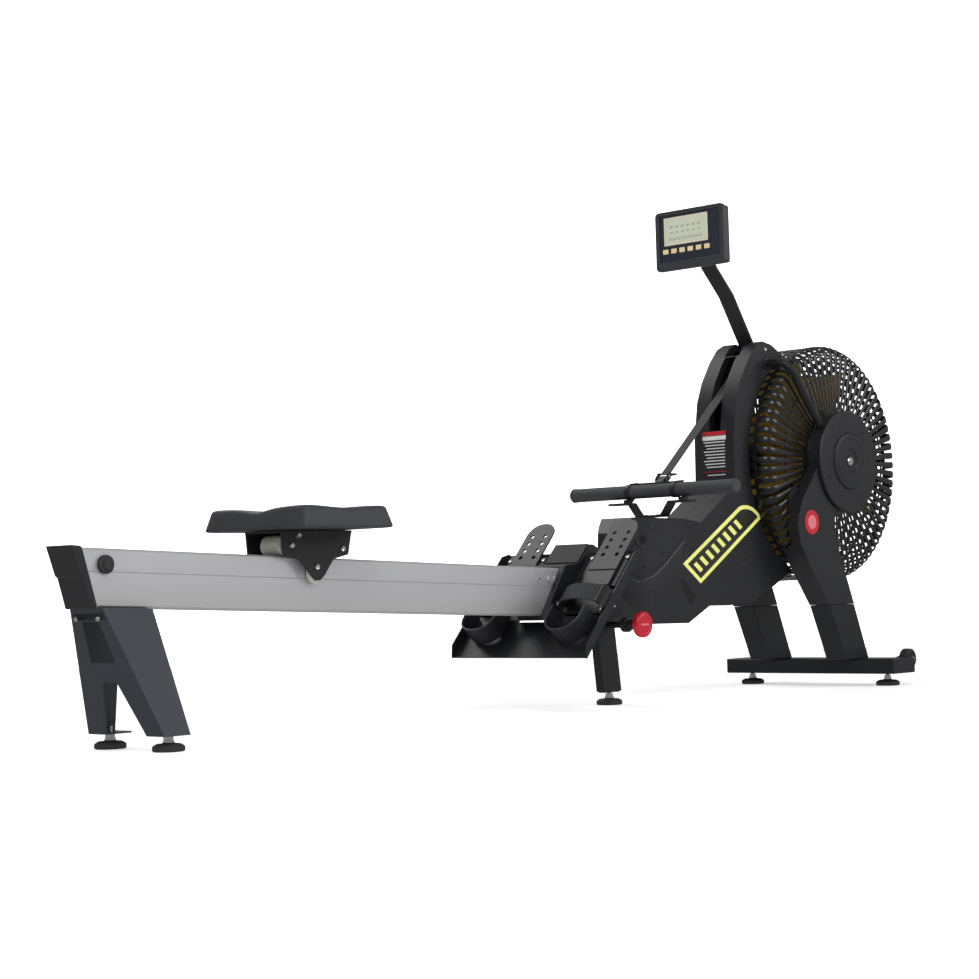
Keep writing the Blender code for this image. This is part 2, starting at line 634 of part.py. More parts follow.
def make_foot_set(side, tag):
    y0 = FOOT_Y - FOOT_W / 2
    y1 = FOOT_Y + FOOT_W / 2
    plate = deck_poly([(0.185, 0.0104), (0.366, 0.0104), (0.366, 0.0144), (0.185, 0.0144)])
    toe = side_prism("toe_plate_" + tag, "housing_plastic", plate, FOOT_Y - TOE_HALF_W, FOOT_Y + TOE_HALF_W, side)
    for row in range(4):
        for col in (-0.0185, 0.0185):
            a = 0.268 + 0.0205 * row
            hole = deck_poly([(a - 0.005, -0.02), (a + 0.005, -0.02), (a + 0.005, 0.04), (a - 0.005, 0.04)])
            cut(toe, side_prism("toe_hole", "steel", hole, FOOT_Y + col - 0.005, FOOT_Y + col + 0.005, side))
    heel = deck_poly([(0.030, 0.0029), (0.105, 0.0029), (0.105, 0.0080), (0.060, 0.0120), (0.048, 0.0500), (0.030, 0.0500)])
    cup = side_prism("heel_cup_" + tag, "housing_plastic", heel, y0 - 0.003, y1 + 0.003, side)
    inner = deck_poly([(0.040, 0.018), (0.2, 0.018), (0.2, 0.1), (0.040, 0.1)])
    cut(cup, side_prism("cup_space", "steel", inner, y0 + 0.004, y1 - 0.004, side))


def make_foot_strap(side, tag):
    """Strap looping over the foot space, anchored on the deck at both edges of the plate."""
    bm = bmesh.new()
    a0 = 0.135
    a1 = 0.160
    y0 = 0.056
    y1 = 0.176
    outer = []
    inner = []
    for k in range(9):
        u = k / 8
        ang = math.pi * (1.0 - u)
        y = (y0 + y1) / 2 + math.cos(ang) * (y1 - y0) / 2
        b = 0.0032 + 0.046 * math.sin(ang) ** 0.8
        outer.append((y + math.cos(ang) * 0.0025, b + 0.0025 * math.sin(ang)))
        inner.append((y, b))
    ring = outer + list(reversed(inner))
    n = len(ring)
    low = []
    high = []
    for y, b in ring:
        x, z = deck_point(a0, b)
        low.append(bm.verts.new((x, side * y, z)))
        x, z = deck_point(a1, b)
        high.append(bm.verts.new((x, side * y, z)))
    for i in range(8):
        bm.faces.new((low[i], low[i + 1], low[n - 2 - i], low[n - 1 - i]))
        bm.faces.new((high[i], high[i + 1], high[n - 2 - i], high[n - 1 - i]))
    for i in range(n):
        j = (i + 1) % n
        bm.faces.new((low[i], low[j], high[j], high[i]))
    link_mesh(bm, "foot_strap_" + tag, "webbing")


def make_centre_box():
    """Painted box that clamps the rail's front end, with a slanted rear edge."""
    points = [(0.036, 0.3020), (-0.040, 0.1890), (0.2240, 0.1890), (0.2240, 0.3000), (0.130, 0.3450), (0.117, 0.3450), (0.079, 0.3060)]
    body = prism("centre_box", "frame_paint", points, -0.0475, 0.0475)
    x0 = -0.1
    x1 = RAIL_FRONT_X + 0.0004
    g = GAP
    slot = [(x0, rail_top(x0) + g), (x1, rail_top(x1) + g), (x1, rail_top(x1) - RAIL_HEIGHT - g), (x0, rail_top(x0) - RAIL_HEIGHT - g)]
    cut(body, prism("rail_socket", "steel", slot, -RAIL_HALF_W - g, RAIL_HALF_W + g))
    pocket = [(0.108, 0.193), (0.300, 0.193), (0.300, 0.296), (0.108, 0.296)]
    cut(body, prism("box_pocket", "steel", pocket, -0.0440, 0.0440))
    plate = [(0.0785, 0.3064), (0.1165, 0.3454), (0.1151, 0.3468), (0.0771, 0.3078)]
    prism("centre_plate", "housing_plastic", plate, -0.045, 0.045)


# ---- seat
def make_seat():
    x, z = SEAT_C
    w = SEAT_HALF_W
    rows = ((-w, 0.036, 0.0), (-0.118, 0.040, -0.002), (-0.070, 0.036, 0.0), (-0.030, 0.042, 0.0), (0.0, 0.048, 0.0))
    rows += ((0.030, 0.042, 0.0), (0.070, 0.036, 0.0), (0.118, 0.040, -0.002), (w, 0.036, 0.0))
    bm = bmesh.new()
    loops = []
    for y, top, low in rows:
        half = 0.118 - 0.25 * max(0.0, abs(y) - 0.09)
        ring = [(-half, low), (half, low), (half - 0.016, top * 0.95), (0.0, top), (-half + 0.016, top * 0.95)]
        loops.append([bm.verts.new((a, y, b)) for a, b in ring])
    for i in range(len(loops) - 1):
        for k in range(5):
            j = (k + 1) % 5
            bm.faces.new((loops[i][k], loops[i + 1][k], loops[i + 1][j], loops[i][j]))
    bm.faces.new(loops[0])
    bm.faces.new(loops[-1])
    link_mesh(bm, "seat_pad", "seat_foam", (x, 0.0, z))


def make_carriage():
    x = CARRIAGE_X
    top = SEAT_C[1] - 0.0004
    rt = rail_top(x)
    size = (0.178, 0.099, 0.004)
    plate = box("seat_carriage", "frame_paint", size, (x, 0.0, top - 0.002))
    side_points = [(-0.088, 0.0), (-0.084, -0.044), (-0.045, -0.050), (-0.018, -0.080), (-0.006, -0.091)]
    side_points += [(0.006, -0.091), (0.018, -0.080), (0.040, -0.052), (0.078, -0.044), (0.088, 0.0)]
    for side in (-1.0, 1.0):
        cheek = side_prism("cheek", "steel", side_points, 0.0460, 0.0500, side)
        place(cheek, (x, 0.0, top - 0.0011))
        join(plate, cheek)
        pin = [(0.0, side * 0.0345), (0.004, side * 0.0345), (0.004, side * 0.047), (0.0, side * 0.047)]
        join(plate, lathe("guide_pin", "steel", pin, (x, 0.0, rt - 0.0305), segments=16))
    for dx in (-0.055, 0.050):
        pin = [(0.0, -0.047), (0.004, -0.047), (0.004, 0.047), (0.0, 0.047)]
        join(plate, lathe("roller_pin", "steel", pin, roller_centre(dx), segments=16))


def roller_centre(dx):
    x = CARRIAGE_X + dx
    return (x, 0.0, rail_top(x) + ROLLER_R + 0.0003)


def make_rollers():
    r = ROLLER_R
    for dx, tag in ((-0.055, "rear"), (0.050, "front")):
        profile = [(0.0045, -0.026), (r - 0.002, -0.026), (r, -0.024), (r, 0.024), (r - 0.002, 0.026), (0.0045, 0.026)]
        lathe("seat_roller_" + tag, "roller_plastic", profile, roller_centre(dx), segments=24)
    for side, tag in ((-1.0, "near"), (1.0, "far")):
        y0 = side * 0.0350
        y1 = side * 0.0450
        profile = [(0.0045, y0), (0.018, y0), (0.018, y1), (0.0045, y1)]
        z = rail_top(CARRIAGE_X) - 0.0305
        lathe("guide_wheel_" + tag, "roller_plastic", profile, (CARRIAGE_X, 0.0, z), segments=24)


def build():
    make_materials()
    make_rail()
    make_rail_cap()
    both_sides(make_rail_stop)
    make_rear_leg()
    make_foot("rear_foot_near", REAR_FOOT[0], -REAR_FOOT[1], 0.040)
    make_foot("rear_foot_far", REAR_FOOT[0], REAR_FOOT[1], 0.040)
    make_mid_leg()
    make_foot("mid_foot", MID_FOOT_X, 0.0, 0.050)
    make_release_knob()
    make_stabiliser()
    make_foot("front_foot_near", FRONT_FOOT[0], -FRONT_FOOT[1], 0.050)
    make_foot("front_foot_far", FRONT_FOOT[0], FRONT_FOOT[1], 0.050)
    both_sides(make_wheel)
    both_sides(make_front_leg)
    both_sides(make_arm_cover)
    both_sides(make_hub_cover)
    both_sides(make_brace)
    both_sides(make_guard)
    make_band()
    make_rotor()
    make_axle()
    both_sides(make_shell)
    make_reels()
    make_handle()
    make_strap()
    make_hook()
    make_console()
    make_console_arm()
    make_deck()
    both_sides(make_foot_set)
    both_sides(make_foot_strap)
    make_centre_box()
    make_seat()
    make_carriage()
    make_rollers()


clear_scene()
COLL = make_collection("rowing_machine")
CUT = make_collection("cutters")
build()
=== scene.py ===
"""Air-resistance rowing machine: the finished surfaces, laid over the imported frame.

The pieces are built with bmesh operators in metres, measured from the machine's datum like the solids,
and moved to the shared frame when they are finished.
"""
import json
import math

import bmesh
import bpy
from bpy.props import FloatProperty, FloatVectorProperty, IntProperty, PointerProperty
from mathutils import Matrix, Vector


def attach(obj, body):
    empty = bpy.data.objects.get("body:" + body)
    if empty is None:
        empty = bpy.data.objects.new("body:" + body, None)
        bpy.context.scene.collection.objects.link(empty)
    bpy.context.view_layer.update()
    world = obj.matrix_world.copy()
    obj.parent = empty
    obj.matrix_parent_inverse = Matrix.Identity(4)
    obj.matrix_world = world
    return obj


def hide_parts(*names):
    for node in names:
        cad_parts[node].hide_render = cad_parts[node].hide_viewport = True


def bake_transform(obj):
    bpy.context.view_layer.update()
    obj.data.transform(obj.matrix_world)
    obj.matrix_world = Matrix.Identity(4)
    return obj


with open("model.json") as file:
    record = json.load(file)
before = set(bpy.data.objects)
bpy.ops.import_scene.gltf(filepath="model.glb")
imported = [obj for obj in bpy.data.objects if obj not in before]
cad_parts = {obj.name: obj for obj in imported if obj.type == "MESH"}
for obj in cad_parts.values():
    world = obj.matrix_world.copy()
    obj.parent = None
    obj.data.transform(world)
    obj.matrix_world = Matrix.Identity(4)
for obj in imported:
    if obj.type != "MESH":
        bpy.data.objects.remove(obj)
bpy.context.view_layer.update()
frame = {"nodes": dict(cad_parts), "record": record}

bl_info = {
    "name": "Rowing machine builder",
    "version": (1, 0, 0),
    "blender": (4, 5, 0),
    "location": "View3D > Sidebar > Rower",
    "description": "Builds an air-resistance rowing machine piece by piece over its packed frame",
    "category": "Object",
}

DATUM = Vector((-0.02175, 0.0, 0.0))
FAN = Vector((0.977, 0.0, 0.535))
BADGE = Vector((0.8225, 0.0, 0.390))
HANDLE = Vector((0.401, 0.0, 0.464))
WHEEL = Vector((1.1115, 0.205, 0.060))
END_SLOPE = 0.295
FOOT_Y = 0.115
SHELL_FACE = 0.0565
DECK_ORIGIN = (-0.068, 0.113)
DECK_TILT = math.radians(48.0)
SIDES = ((-1.0, "near"), (1.0, "far"))


def rail_top(x):
    """Height of the rail's top face at x."""
    return 0.3416 - 0.042 * (x + 1.0525)


# ---------------------------------------------------------------- shader building
class Value:
    """A shader socket that can be used in sums; each operation adds its Math node."""

    def __init__(self, graph, socket):
        self.graph = graph
        self.socket = socket

    def _math(self, operation, a, b=None, clamp=False):
        values = {0: a} if b is None else {0: a, 1: b}
        return self.graph.node("ShaderNodeMath", {"operation": operation, "use_clamp": clamp}, values)

    def __add__(self, other):
        return self._math("ADD", self, other)

    def __radd__(self, other):
        return self._math("ADD", other, self)

    def __sub__(self, other):
        return self._math("SUBTRACT", self, other)

    def __rsub__(self, other):
        return self._math("SUBTRACT", other, self)

    def __mul__(self, other):
        return self._math("MULTIPLY", self, other)

    def __rmul__(self, other):
        return self._math("MULTIPLY", other, self)

    def above(self, other):
        return self._math("GREATER_THAN", self, other)

    def below(self, other):
        return self._math("LESS_THAN", self, other)

    def absolute(self):
        return self._math("ABSOLUTE", self)

    def clamped(self):
        return self._math("ADD", self, 0.0, True)

    def sine(self):
        return self._math("SINE", self)

    def between(self, low, high):
        return self.above(low) * self.below(high)


class Graph:
    """One material's nodes."""

    def __init__(self, name):
        self.material = bpy.data.materials.new(name)
        self.material.use_nodes = True
        self.tree = self.material.node_tree
        self.shader = self.tree.nodes["Principled BSDF"]
        self.coords = self.node("ShaderNodeTexCoord", out="Object")

    def node(self, kind, settings=None, values=None, out=0):
        """Add any node: its settings first, then the values or links of its sockets."""
        made = self.tree.nodes.new(kind)
        for key, value in (settings or {}).items():
            setattr(made, key, value)
        for key, value in (values or {}).items():
            self.feed(made.inputs[key], value)
        return Value(self, made.outputs[out])

    def feed(self, socket, value):
        if isinstance(value, Value):
            self.tree.links.new(value.socket, socket)
        elif isinstance(value, (tuple, list)) and len(value) == 3 and socket.type == "RGBA":
            socket.default_value = (*value, 1.0)
        else:
            socket.default_value = value

    def placed(self, scale, turn=(0.0, 0.0, 0.0)):
        """Object coordinates, turned and scaled."""
        values = {"Vector": self.coords, "Scale": scale, "Rotation": turn}
        return self.node("ShaderNodeMapping", None, values)

    def noise(self, scale, detail=3.0, vector=None):
        values = {"Vector": vector or self.coords, "Scale": scale, "Detail": detail}
        return self.node("ShaderNodeTexNoise", None, values)

    def cells(self, scale):
        return self.node("ShaderNodeTexVoronoi", None, {"Vector": self.coords, "Scale": scale})

    def axes(self):
        made = self.tree.nodes.new("ShaderNodeSeparateXYZ")
        self.feed(made.inputs[0], self.coords)
        return [Value(self, made.outputs[k]) for k in range(3)]

    def mixed(self, factor, a, b):
        """Blend two colours."""
        made = self.tree.nodes.new("ShaderNodeMix")
        made.data_type = "RGBA"
        self.feed(made.inputs[0], factor)
        self.feed(made.inputs[6], a)
        self.feed(made.inputs[7], b)
        return Value(self, made.outputs[2])

    def bump(self, height, strength, distance):
        return self.node("ShaderNodeBump", None, {"Height": height, "Strength": strength,
                                                  "Distance": distance})

    def done(self, **inputs):
        for key, value in inputs.items():
            self.feed(self.shader.inputs[key.replace("_", " ")], value)
        return self.material


# ---------------------------------------------------------------- materials
FINISH = {}


def shade(colour, factor):
    return tuple(min(1.0, c * factor) for c in colour)


def grained_plastic(name, colour, rough):
    """Moulded plastic: fine grain, faint flow marks and slightly shinier rubbed patches."""
    g = Graph(name)
    cloud = g.noise(7.0, 4.0)
    fine = g.noise(900.0, 2.0)
    flow = g.noise(1.0, 3.0, g.placed((3.0, 10.0, 28.0)))
    tone = g.mixed(cloud * 0.6 + flow * 0.4, shade(colour, 0.86), shade(colour, 1.20))
    handled = g.noise(16.0, 5.0)
    r = rough + (handled - 0.5) * 0.056 + (fine - 0.5) * 0.08
    return g.done(Base_Color=tone, Roughness=r, Normal=g.bump(fine, 0.5, 0.00005), Specular_IOR_Level=0.34)


def powder_coat(name, colour, rough):
    """Sprayed paint on steel: orange-peel ripple and dust-fine speckle."""
    g = Graph(name)
    peel = g.noise(420.0, 2.0)
    speck = g.noise(1500.0, 1.0)
    cloud = g.noise(5.0, 3.0)
    tone = g.mixed(cloud * 0.7 + speck * 0.3, shade(colour, 0.88), shade(colour, 1.18))
    r = rough + (cloud - 0.5) * 0.12 + (speck - 0.5) * 0.06
    return g.done(Base_Color=tone, Roughness=r, Normal=g.bump(peel, 0.4, 0.00008), Specular_IOR_Level=0.32)


def drawn_aluminium(name):
    """Extruded and anodised aluminium: long draw lines along the rail, with painted shade darkening the lower
    part of its sides.
    """
    g = Graph(name)
    lines = g.noise(1.0, 4.0, g.placed((2.0, 1600.0, 1600.0), (0.0, math.radians(2.405), 0.0)))
    broad = g.noise(1.0, 2.0, g.placed((0.8, 60.0, 60.0), (0.0, math.radians(2.405), 0.0)))
    cloud = g.noise(2.4, 4.0)
    x, y, z = g.axes()
    height = z + x * 0.042
    # Painted shade: from about 32 mm below the top, the rail's sides are darkened and warmed downwards.
    low = ((0.2650 - height) * 18.0).clamped()
    tone = g.mixed(lines * 0.30 + broad * 0.30 + cloud * 0.40, (0.44, 0.445, 0.465), (0.60, 0.60, 0.62))
    tone = g.mixed(low * 0.45, tone, (0.46, 0.445, 0.435))
    r = 0.40 + (lines - 0.5) * 0.14 + (cloud - 0.5) * 0.10
    return g.done(Base_Color=tone, Roughness=r, Metallic=0.62, Normal=g.bump(lines, 0.30, 0.00004))


def zinc(name, colour=(0.66, 0.66, 0.64)):
    """Plated steel: cloudy passivation and fine tool marks."""
    g = Graph(name)
    cloud = g.noise(90.0, 4.0)
    scratch = g.noise(1.0, 3.0, g.placed((300.0, 900.0, 60.0)))
    tone = g.mixed(cloud, shade(colour, 0.80), shade(colour, 1.15))
    r = 0.30 + (cloud - 0.5) * 0.20 + (scratch - 0.5) * 0.10
    return g.done(Base_Color=tone, Roughness=r, Metallic=1.0, Normal=g.bump(scratch, 0.15, 0.00003))


def matt_rubber(name, colour, rough=0.78, grain=700.0):
    """Rubber or grip foam: open grain, dusty in places."""
    g = Graph(name)
    fine = g.noise(grain, 3.0)
    dust = g.noise(30.0, 5.0)
    tone = g.mixed(dust * 0.6 + fine * 0.4, shade(colour, 0.80), shade(colour, 1.35))
    r = rough + (dust - 0.5) * 0.14
    return g.done(Base_Color=tone, Roughness=r, Normal=g.bump(fine, 0.5, 0.00010))


def moulded_foam(name, colour):
    """Self-skinned seat foam: soft sheen with a fine pebble grain."""
    g = Graph(name)
    pebble = g.cells(520.0)
    fine = g.noise(240.0, 3.0)
    cloud = g.noise(9.0, 4.0)
    tone = g.mixed(cloud * 0.65 + fine * 0.35, shade(colour, 0.84), shade(colour, 1.22))
    r = 0.62 + (cloud - 0.5) * 0.14 + (fine - 0.5) * 0.06
    return g.done(Base_Color=tone, Roughness=r, Normal=g.bump(pebble + fine * 0.5, 0.35, 0.00012))


def woven_strap(name, colour, along=(1.0, 0.0), pitch=0.0014):
    """Webbing: over-and-under yarns across the strap and along it."""
    g = Graph(name)
    x, y, z = g.axes()
    run = x * along[0] + z * along[1]
    across = (y * (math.pi / pitch)).sine()
    down = (run * (math.pi / (pitch * 0.8))).sine()
    weave = (across * down + 1.0) * 0.5
    fuzz = g.noise(1400.0, 2.0)
    tone = g.mixed(weave * 0.7 + fuzz * 0.3, shade(colour, 0.55), shade(colour, 1.45))
    return g.done(Base_Color=tone, Roughness=0.86 + (fuzz - 0.5) * 0.12, Normal=g.bump(weave, 0.6, 0.00025))


def glossy_plastic(name, colour, rough=0.28):
    """Smooth moulding with a faint ripple."""
    g = Graph(name)
    cloud = g.noise(14.0, 4.0)
    fine = g.noise(420.0, 2.0)
    tone = g.mixed(cloud, shade(colour, 0.88), shade(colour, 1.10))
    r = rough + (cloud - 0.5) * 0.12
    return g.done(Base_Color=tone, Roughness=r, Normal=g.bump(fine, 0.15, 0.00003))


def fan_plastic(name, colour):
    """Ochre blades: slightly streaked moulding."""
    g = Graph(name)
    streak = g.noise(1.0, 3.0, g.placed((40.0, 6.0, 40.0)))
    fine = g.noise(600.0, 2.0)
    tone = g.mixed(streak, shade(colour, 0.78), shade(colour, 1.18))
    return g.done(Base_Color=tone, Roughness=0.42 + (streak - 0.5) * 0.16, Normal=g.bump(fine, 0.3, 0.00005))


def display_glass(name):
    """Reflective grey-green display with rows of plain segment blocks and a bar graph."""
    g = Graph(name)
    x, y, z = g.axes()
    cloud = g.noise(20.0, 3.0)
    base = g.mixed(cloud, (0.50, 0.53, 0.42), (0.60, 0.63, 0.50))
    column = ((y * 400.0).sine()).above(0.25)
    row_a = z.between(1.078, 1.083)
    row_b = z.between(1.066, 1.069)
    bars = ((y * 900.0).sine()).above(0.1) * z.between(1.049, 1.056)
    ink = (column * (row_a + row_b) + bars).clamped()
    edge = (y - 0.011).absolute().below(0.050)
    tone = g.mixed(ink * edge * 0.55, base, (0.12, 0.13, 0.10))
    return g.done(Base_Color=tone, Roughness=0.16 + (cloud - 0.5) * 0.05, Coat_Weight=0.5)


def label_sheet(name, ground, light):
    """Printed film: satin ground with a cloudy tone and a fine grain."""
    g = Graph(name)
    cloud = g.noise(40.0, 3.0)
    fine = g.noise(900.0, 2.0)
    tone = g.mixed(cloud, ground, light)
    return g.done(Base_Color=tone, Roughness=0.30 + (cloud - 0.5) * 0.10, Normal=g.bump(fine, 0.1, 0.00002))


def make_finishes(look):
    """Create every material once."""
    black = tuple(look.housing_colour)
    paint = tuple(look.frame_colour)
    FINISH.update({
        "housing": grained_plastic("housing_plastic", black, 0.43),
        # The housing plastic made 1.7 times lighter: a painted highlight for the thin bars along the creases
        # and the heel cups' rim beads.
        "housing_highlight": grained_plastic("housing_highlight_plastic", shade(black, 1.7), 0.40),
        "housing_gloss": glossy_plastic("nose_plastic", shade(black, 1.1), 0.26),
        # The housing plastic at a third of its brightness. It is painted shade for spots that sit in recesses
        # (the wall inside the strap slot, sunken screw plugs, sockets and grooves), and the plain dark colour
        # of the centre plate.
        "dark_and_recess_shade": grained_plastic("dark_and_recess_shade_plastic", shade(black, 0.35), 0.60),
        "guard": glossy_plastic("guard_plastic", (0.006, 0.006, 0.007), 0.26),
        "paint": powder_coat("frame_paint", paint, 0.44),
        "leg_paint": powder_coat("rear_leg_paint", (0.026, 0.030, 0.039), 0.40),
        "dark_paint": powder_coat("bracket_paint", (0.014, 0.014, 0.016), 0.46),
        "aluminium": drawn_aluminium("rail_aluminium"),
        "zinc": zinc("zinc_fasteners"),
        "rubber": matt_rubber("rubber", (0.020, 0.020, 0.021)),
        "grip": matt_rubber("handle_grip", (0.036, 0.037, 0.041), 0.70, 1100.0),
        "seat": moulded_foam("seat_foam", tuple(look.seat_colour)),
        "webbing": woven_strap("foot_webbing", (0.030, 0.031, 0.034)),
        "pull_webbing": woven_strap("pull_webbing", (0.060, 0.060, 0.058), (0.757, 0.653), 0.0016),
        "blade": fan_plastic("fan_blades", tuple(look.blade_colour)),
        "red": glossy_plastic("red_plastic", tuple(look.accent_colour)),
        "pale_red": glossy_plastic("badge_print", (0.66, 0.17, 0.20), 0.36),
        "yellow": label_sheet("label_yellow", (0.80, 0.82, 0.20), (0.88, 0.90, 0.28)),
        "label_black": label_sheet("label_black", (0.012, 0.012, 0.010), (0.022, 0.022, 0.018)),
        "label_cream": label_sheet("label_cream", (0.62, 0.56, 0.40), (0.70, 0.64, 0.48)),
        "label_white": label_sheet("label_white", (0.62, 0.62, 0.62), (0.74, 0.74, 0.74)),
        "screen": display_glass("display"),
        "button": glossy_plastic("button_plastic", (0.72, 0.58, 0.33), 0.40),
        "roller": glossy_plastic("roller_plastic", (0.50, 0.48, 0.43), 0.38),
        "console_panel": glossy_plastic("console_panel", (0.012, 0.014, 0.028), 0.30),
        "console_rim": grained_plastic("console_rim", (0.030, 0.031, 0.036), 0.38),
        "floor": floor_finish("studio_floor"),
        "backdrop": backdrop_finish("studio_backdrop"),
    })


def floor_finish(name):
    g = Graph(name)
    cloud = g.noise(0.6, 3.0)
    tone = g.mixed(cloud, (0.92, 0.92, 0.92), (0.95, 0.95, 0.95))
    return g.done(Base_Color=tone, Roughness=0.75 + (cloud - 0.5) * 0.05, Emission_Color=tone,
                  Emission_Strength=0.50)


def backdrop_finish(name):
    g = Graph(name)
    cloud = g.noise(0.3, 2.0)
    tone = g.mixed(cloud, (0.97, 0.97, 0.97), (1.0, 1.0, 1.0))
    return g.done(Base_Color=(0.9, 0.9, 0.9), Emission_Color=tone, Emission_Strength=1.02)


# ---------------------------------------------------------------- mesh helpers
def rod(bm, a, b, radius, sides=24, finish=None):
    """Solid bar with a regular section from a to b."""
    part = bmesh.new()
    a = Vector(a)
    b = Vector(b)
    turn = (b - a).to_track_quat("Z", "Y").to_matrix().to_4x4()
    bmesh.ops.create_cone(part, cap_ends=True, segments=sides, radius1=radius, radius2=radius,
                          depth=(b - a).length,
                          matrix=Matrix.Translation((a + b) / 2) @ turn)
    merge(bm, part, finish)


def chamfer(part, geom, width, segments=1, affect="EDGES"):
    bmesh.ops.bevel(part, geom=geom, offset=width, offset_type="OFFSET", segments=segments, profile=0.5,
                    affect=affect, clamp_overlap=True, material=-1)


def is_sharp(edge, least):
    return len(edge.link_faces) == 2 and edge.calc_face_angle(0.0) > least


def rounded(part, width, segments=2, least=30.0):
    """Bevel every edge sharper than an angle."""
    chamfer(part, [e for e in part.edges if is_sharp(e, math.radians(least))], width, segments)


def block(bm, low, high, bevel=0.0, segments=2, finish=None):
    """Box between two corners, with bevelled edges."""
    part = bmesh.new()
    low = Vector(low)
    high = Vector(high)
    bmesh.ops.create_cube(part, size=1.0)
    bmesh.ops.scale(part, vec=high - low, verts=part.verts)
    bmesh.ops.translate(part, vec=(low + high) / 2, verts=part.verts)
    if bevel:
        rounded(part, bevel, segments)
    merge(bm, part, finish)


def merge(bm, part, finish=None):
    """Add one bmesh to another and free it."""
    if finish is not None:
        for face in part.faces:
            face.material_index = finish
    keep = bpy.data.meshes.new("part")
    part.to_mesh(keep)
    part.free()
    bm.from_mesh(keep)
    bpy.data.meshes.remove(keep)


def only(kind, geom):
    return [g for g in geom if isinstance(g, kind)]


def plate(outline, y0, y1, bevel=0.0, segments=2):
    """Flat piece from an outline in the XZ plane, extruded from y0 to y1."""
    part = bmesh.new()
    face = part.faces.new([part.verts.new((x, y0, z)) for x, z in outline])
    made = bmesh.ops.extrude_face_region(part, geom=[face])["geom"]
    bmesh.ops.translate(part, vec=(0.0, y1 - y0, 0.0), verts=only(bmesh.types.BMVert, made))
    bmesh.ops.recalc_face_normals(part, faces=part.faces)
    if bevel:
        rounded(part, bevel, segments, 20.0)
    return part


def side_plate(outline, side, inner, outer, bevel, segments=2):
    """Plate on one side of the machine, between two distances from its middle plane."""
    return plate(outline, side * inner, side * outer, bevel, segments)


def turned(profile, centre, axis="Y", steps=48):
    """Spin (radius, distance) pairs about an axis through centre."""
    part = bmesh.new()
    line = {"X": Vector((1, 0, 0)), "Y": Vector((0, 1, 0)), "Z": Vector((0, 0, 1))}[axis]
    out = Vector((0, 0, 1)) if axis != "Z" else Vector((1, 0, 0))
    centre = Vector(centre)
    verts = [part.verts.new(centre + out * r + line * d) for r, d in profile]
    edges = [part.edges.new(pair) for pair in zip(verts, verts[1:])]
    bmesh.ops.spin(part, geom=verts + edges, cent=centre, axis=line, angle=2.0 * math.pi, steps=steps,
                   use_merge=True)
    bmesh.ops.remove_doubles(part, verts=part.verts, dist=1e-6)
    bmesh.ops.recalc_face_normals(part, faces=part.faces)
    return part


def side_turned(profile, side, centre, steps):
    """Spin (radius, distance from the middle plane) pairs about a cross axis on one side of the machine."""
    return turned([(r, side * d) for r, d in profile], centre, "Y", steps)


def swept(path, radius, sides=16):
    """Bar along a path: a ring is extruded and turned from point to point."""
    part = bmesh.new()
    pts = [Vector(p) for p in path]
    ring = bmesh.ops.create_circle(part, segments=sides, radius=radius, cap_ends=False)["verts"]
    edges = part.edges[:]
    part.faces.new(ring)
    frames = []
    for i, p in enumerate(pts):
        ahead = pts[min(i + 1, len(pts) - 1)] - p
        behind = p - pts[max(i - 1, 0)]
        frames.append((ahead.normalized() + behind.normalized()).normalized())
    place = Matrix.Translation(pts[0]) @ frames[0].to_track_quat("Z", "Y").to_matrix().to_4x4()
    bmesh.ops.transform(part, matrix=place, verts=ring)
    for i in range(1, len(pts)):
        made = bmesh.ops.extrude_edge_only(part, edges=edges)["geom"]
        ring = only(bmesh.types.BMVert, made)
        edges = only(bmesh.types.BMEdge, made)
        turn = frames[i - 1].rotation_difference(frames[i]).to_matrix().to_4x4()
        move = Matrix.Translation(pts[i]) @ turn @ Matrix.Translation(-pts[i - 1])
        bmesh.ops.transform(part, matrix=move, verts=ring)
    bmesh.ops.holes_fill(part, edges=edges, sides=0)
    bmesh.ops.recalc_face_normals(part, faces=part.faces)
    return part


def drawn(part, pts, across, scales):
    """Extrude the part's one face along points, with a width and a thickness for each."""
    places = []
    for i, p in enumerate(pts):
        run = (pts[min(i + 1, len(pts) - 1)] - pts[max(i - 1, 0)]).normalized()
        turn = Matrix((across, run.cross(across).normalized(), run)).transposed().to_4x4()
        places.append(Matrix.Translation(p) @ turn @ Matrix.Diagonal((*scales[i], 1.0, 1.0)))
    bmesh.ops.transform(part, matrix=places[0], verts=part.verts)
    face = next(iter(part.faces))
    for i in range(1, len(pts)):
        made = bmesh.ops.extrude_face_region(part, geom=[face])["geom"]
        if i > 1:
            bmesh.ops.delete(part, geom=[face], context="FACES_ONLY")
        face = only(bmesh.types.BMFace, made)[0]
        move = places[i] @ places[i - 1].inverted()
        bmesh.ops.transform(part, matrix=move, verts=only(bmesh.types.BMVert, made))
    bmesh.ops.recalc_face_normals(part, faces=part.faces)
    return part


def screw(bm, centre, direction, radius, height=0.0018, finish=0):
    """Button-head screw with a hexagonal socket."""
    part = bmesh.new()
    bmesh.ops.create_cone(part, cap_ends=True, segments=20, radius1=radius, radius2=radius * 0.82,
                          depth=height)
    top = max(part.faces, key=lambda f: f.calc_center_median().z)
    bmesh.ops.inset_region(part, faces=[top], thickness=radius * 0.42, depth=0.0)
    bmesh.ops.translate(part, vec=(0.0, 0.0, -height * 0.5), verts=top.verts)
    turn = Vector(direction).to_track_quat("Z", "Y").to_matrix().to_4x4()
    spot = Vector(centre) + Vector(direction).normalized() * height * 0.5
    bmesh.ops.transform(part, matrix=Matrix.Translation(spot) @ turn, verts=part.verts)
    merge(bm, part, finish)


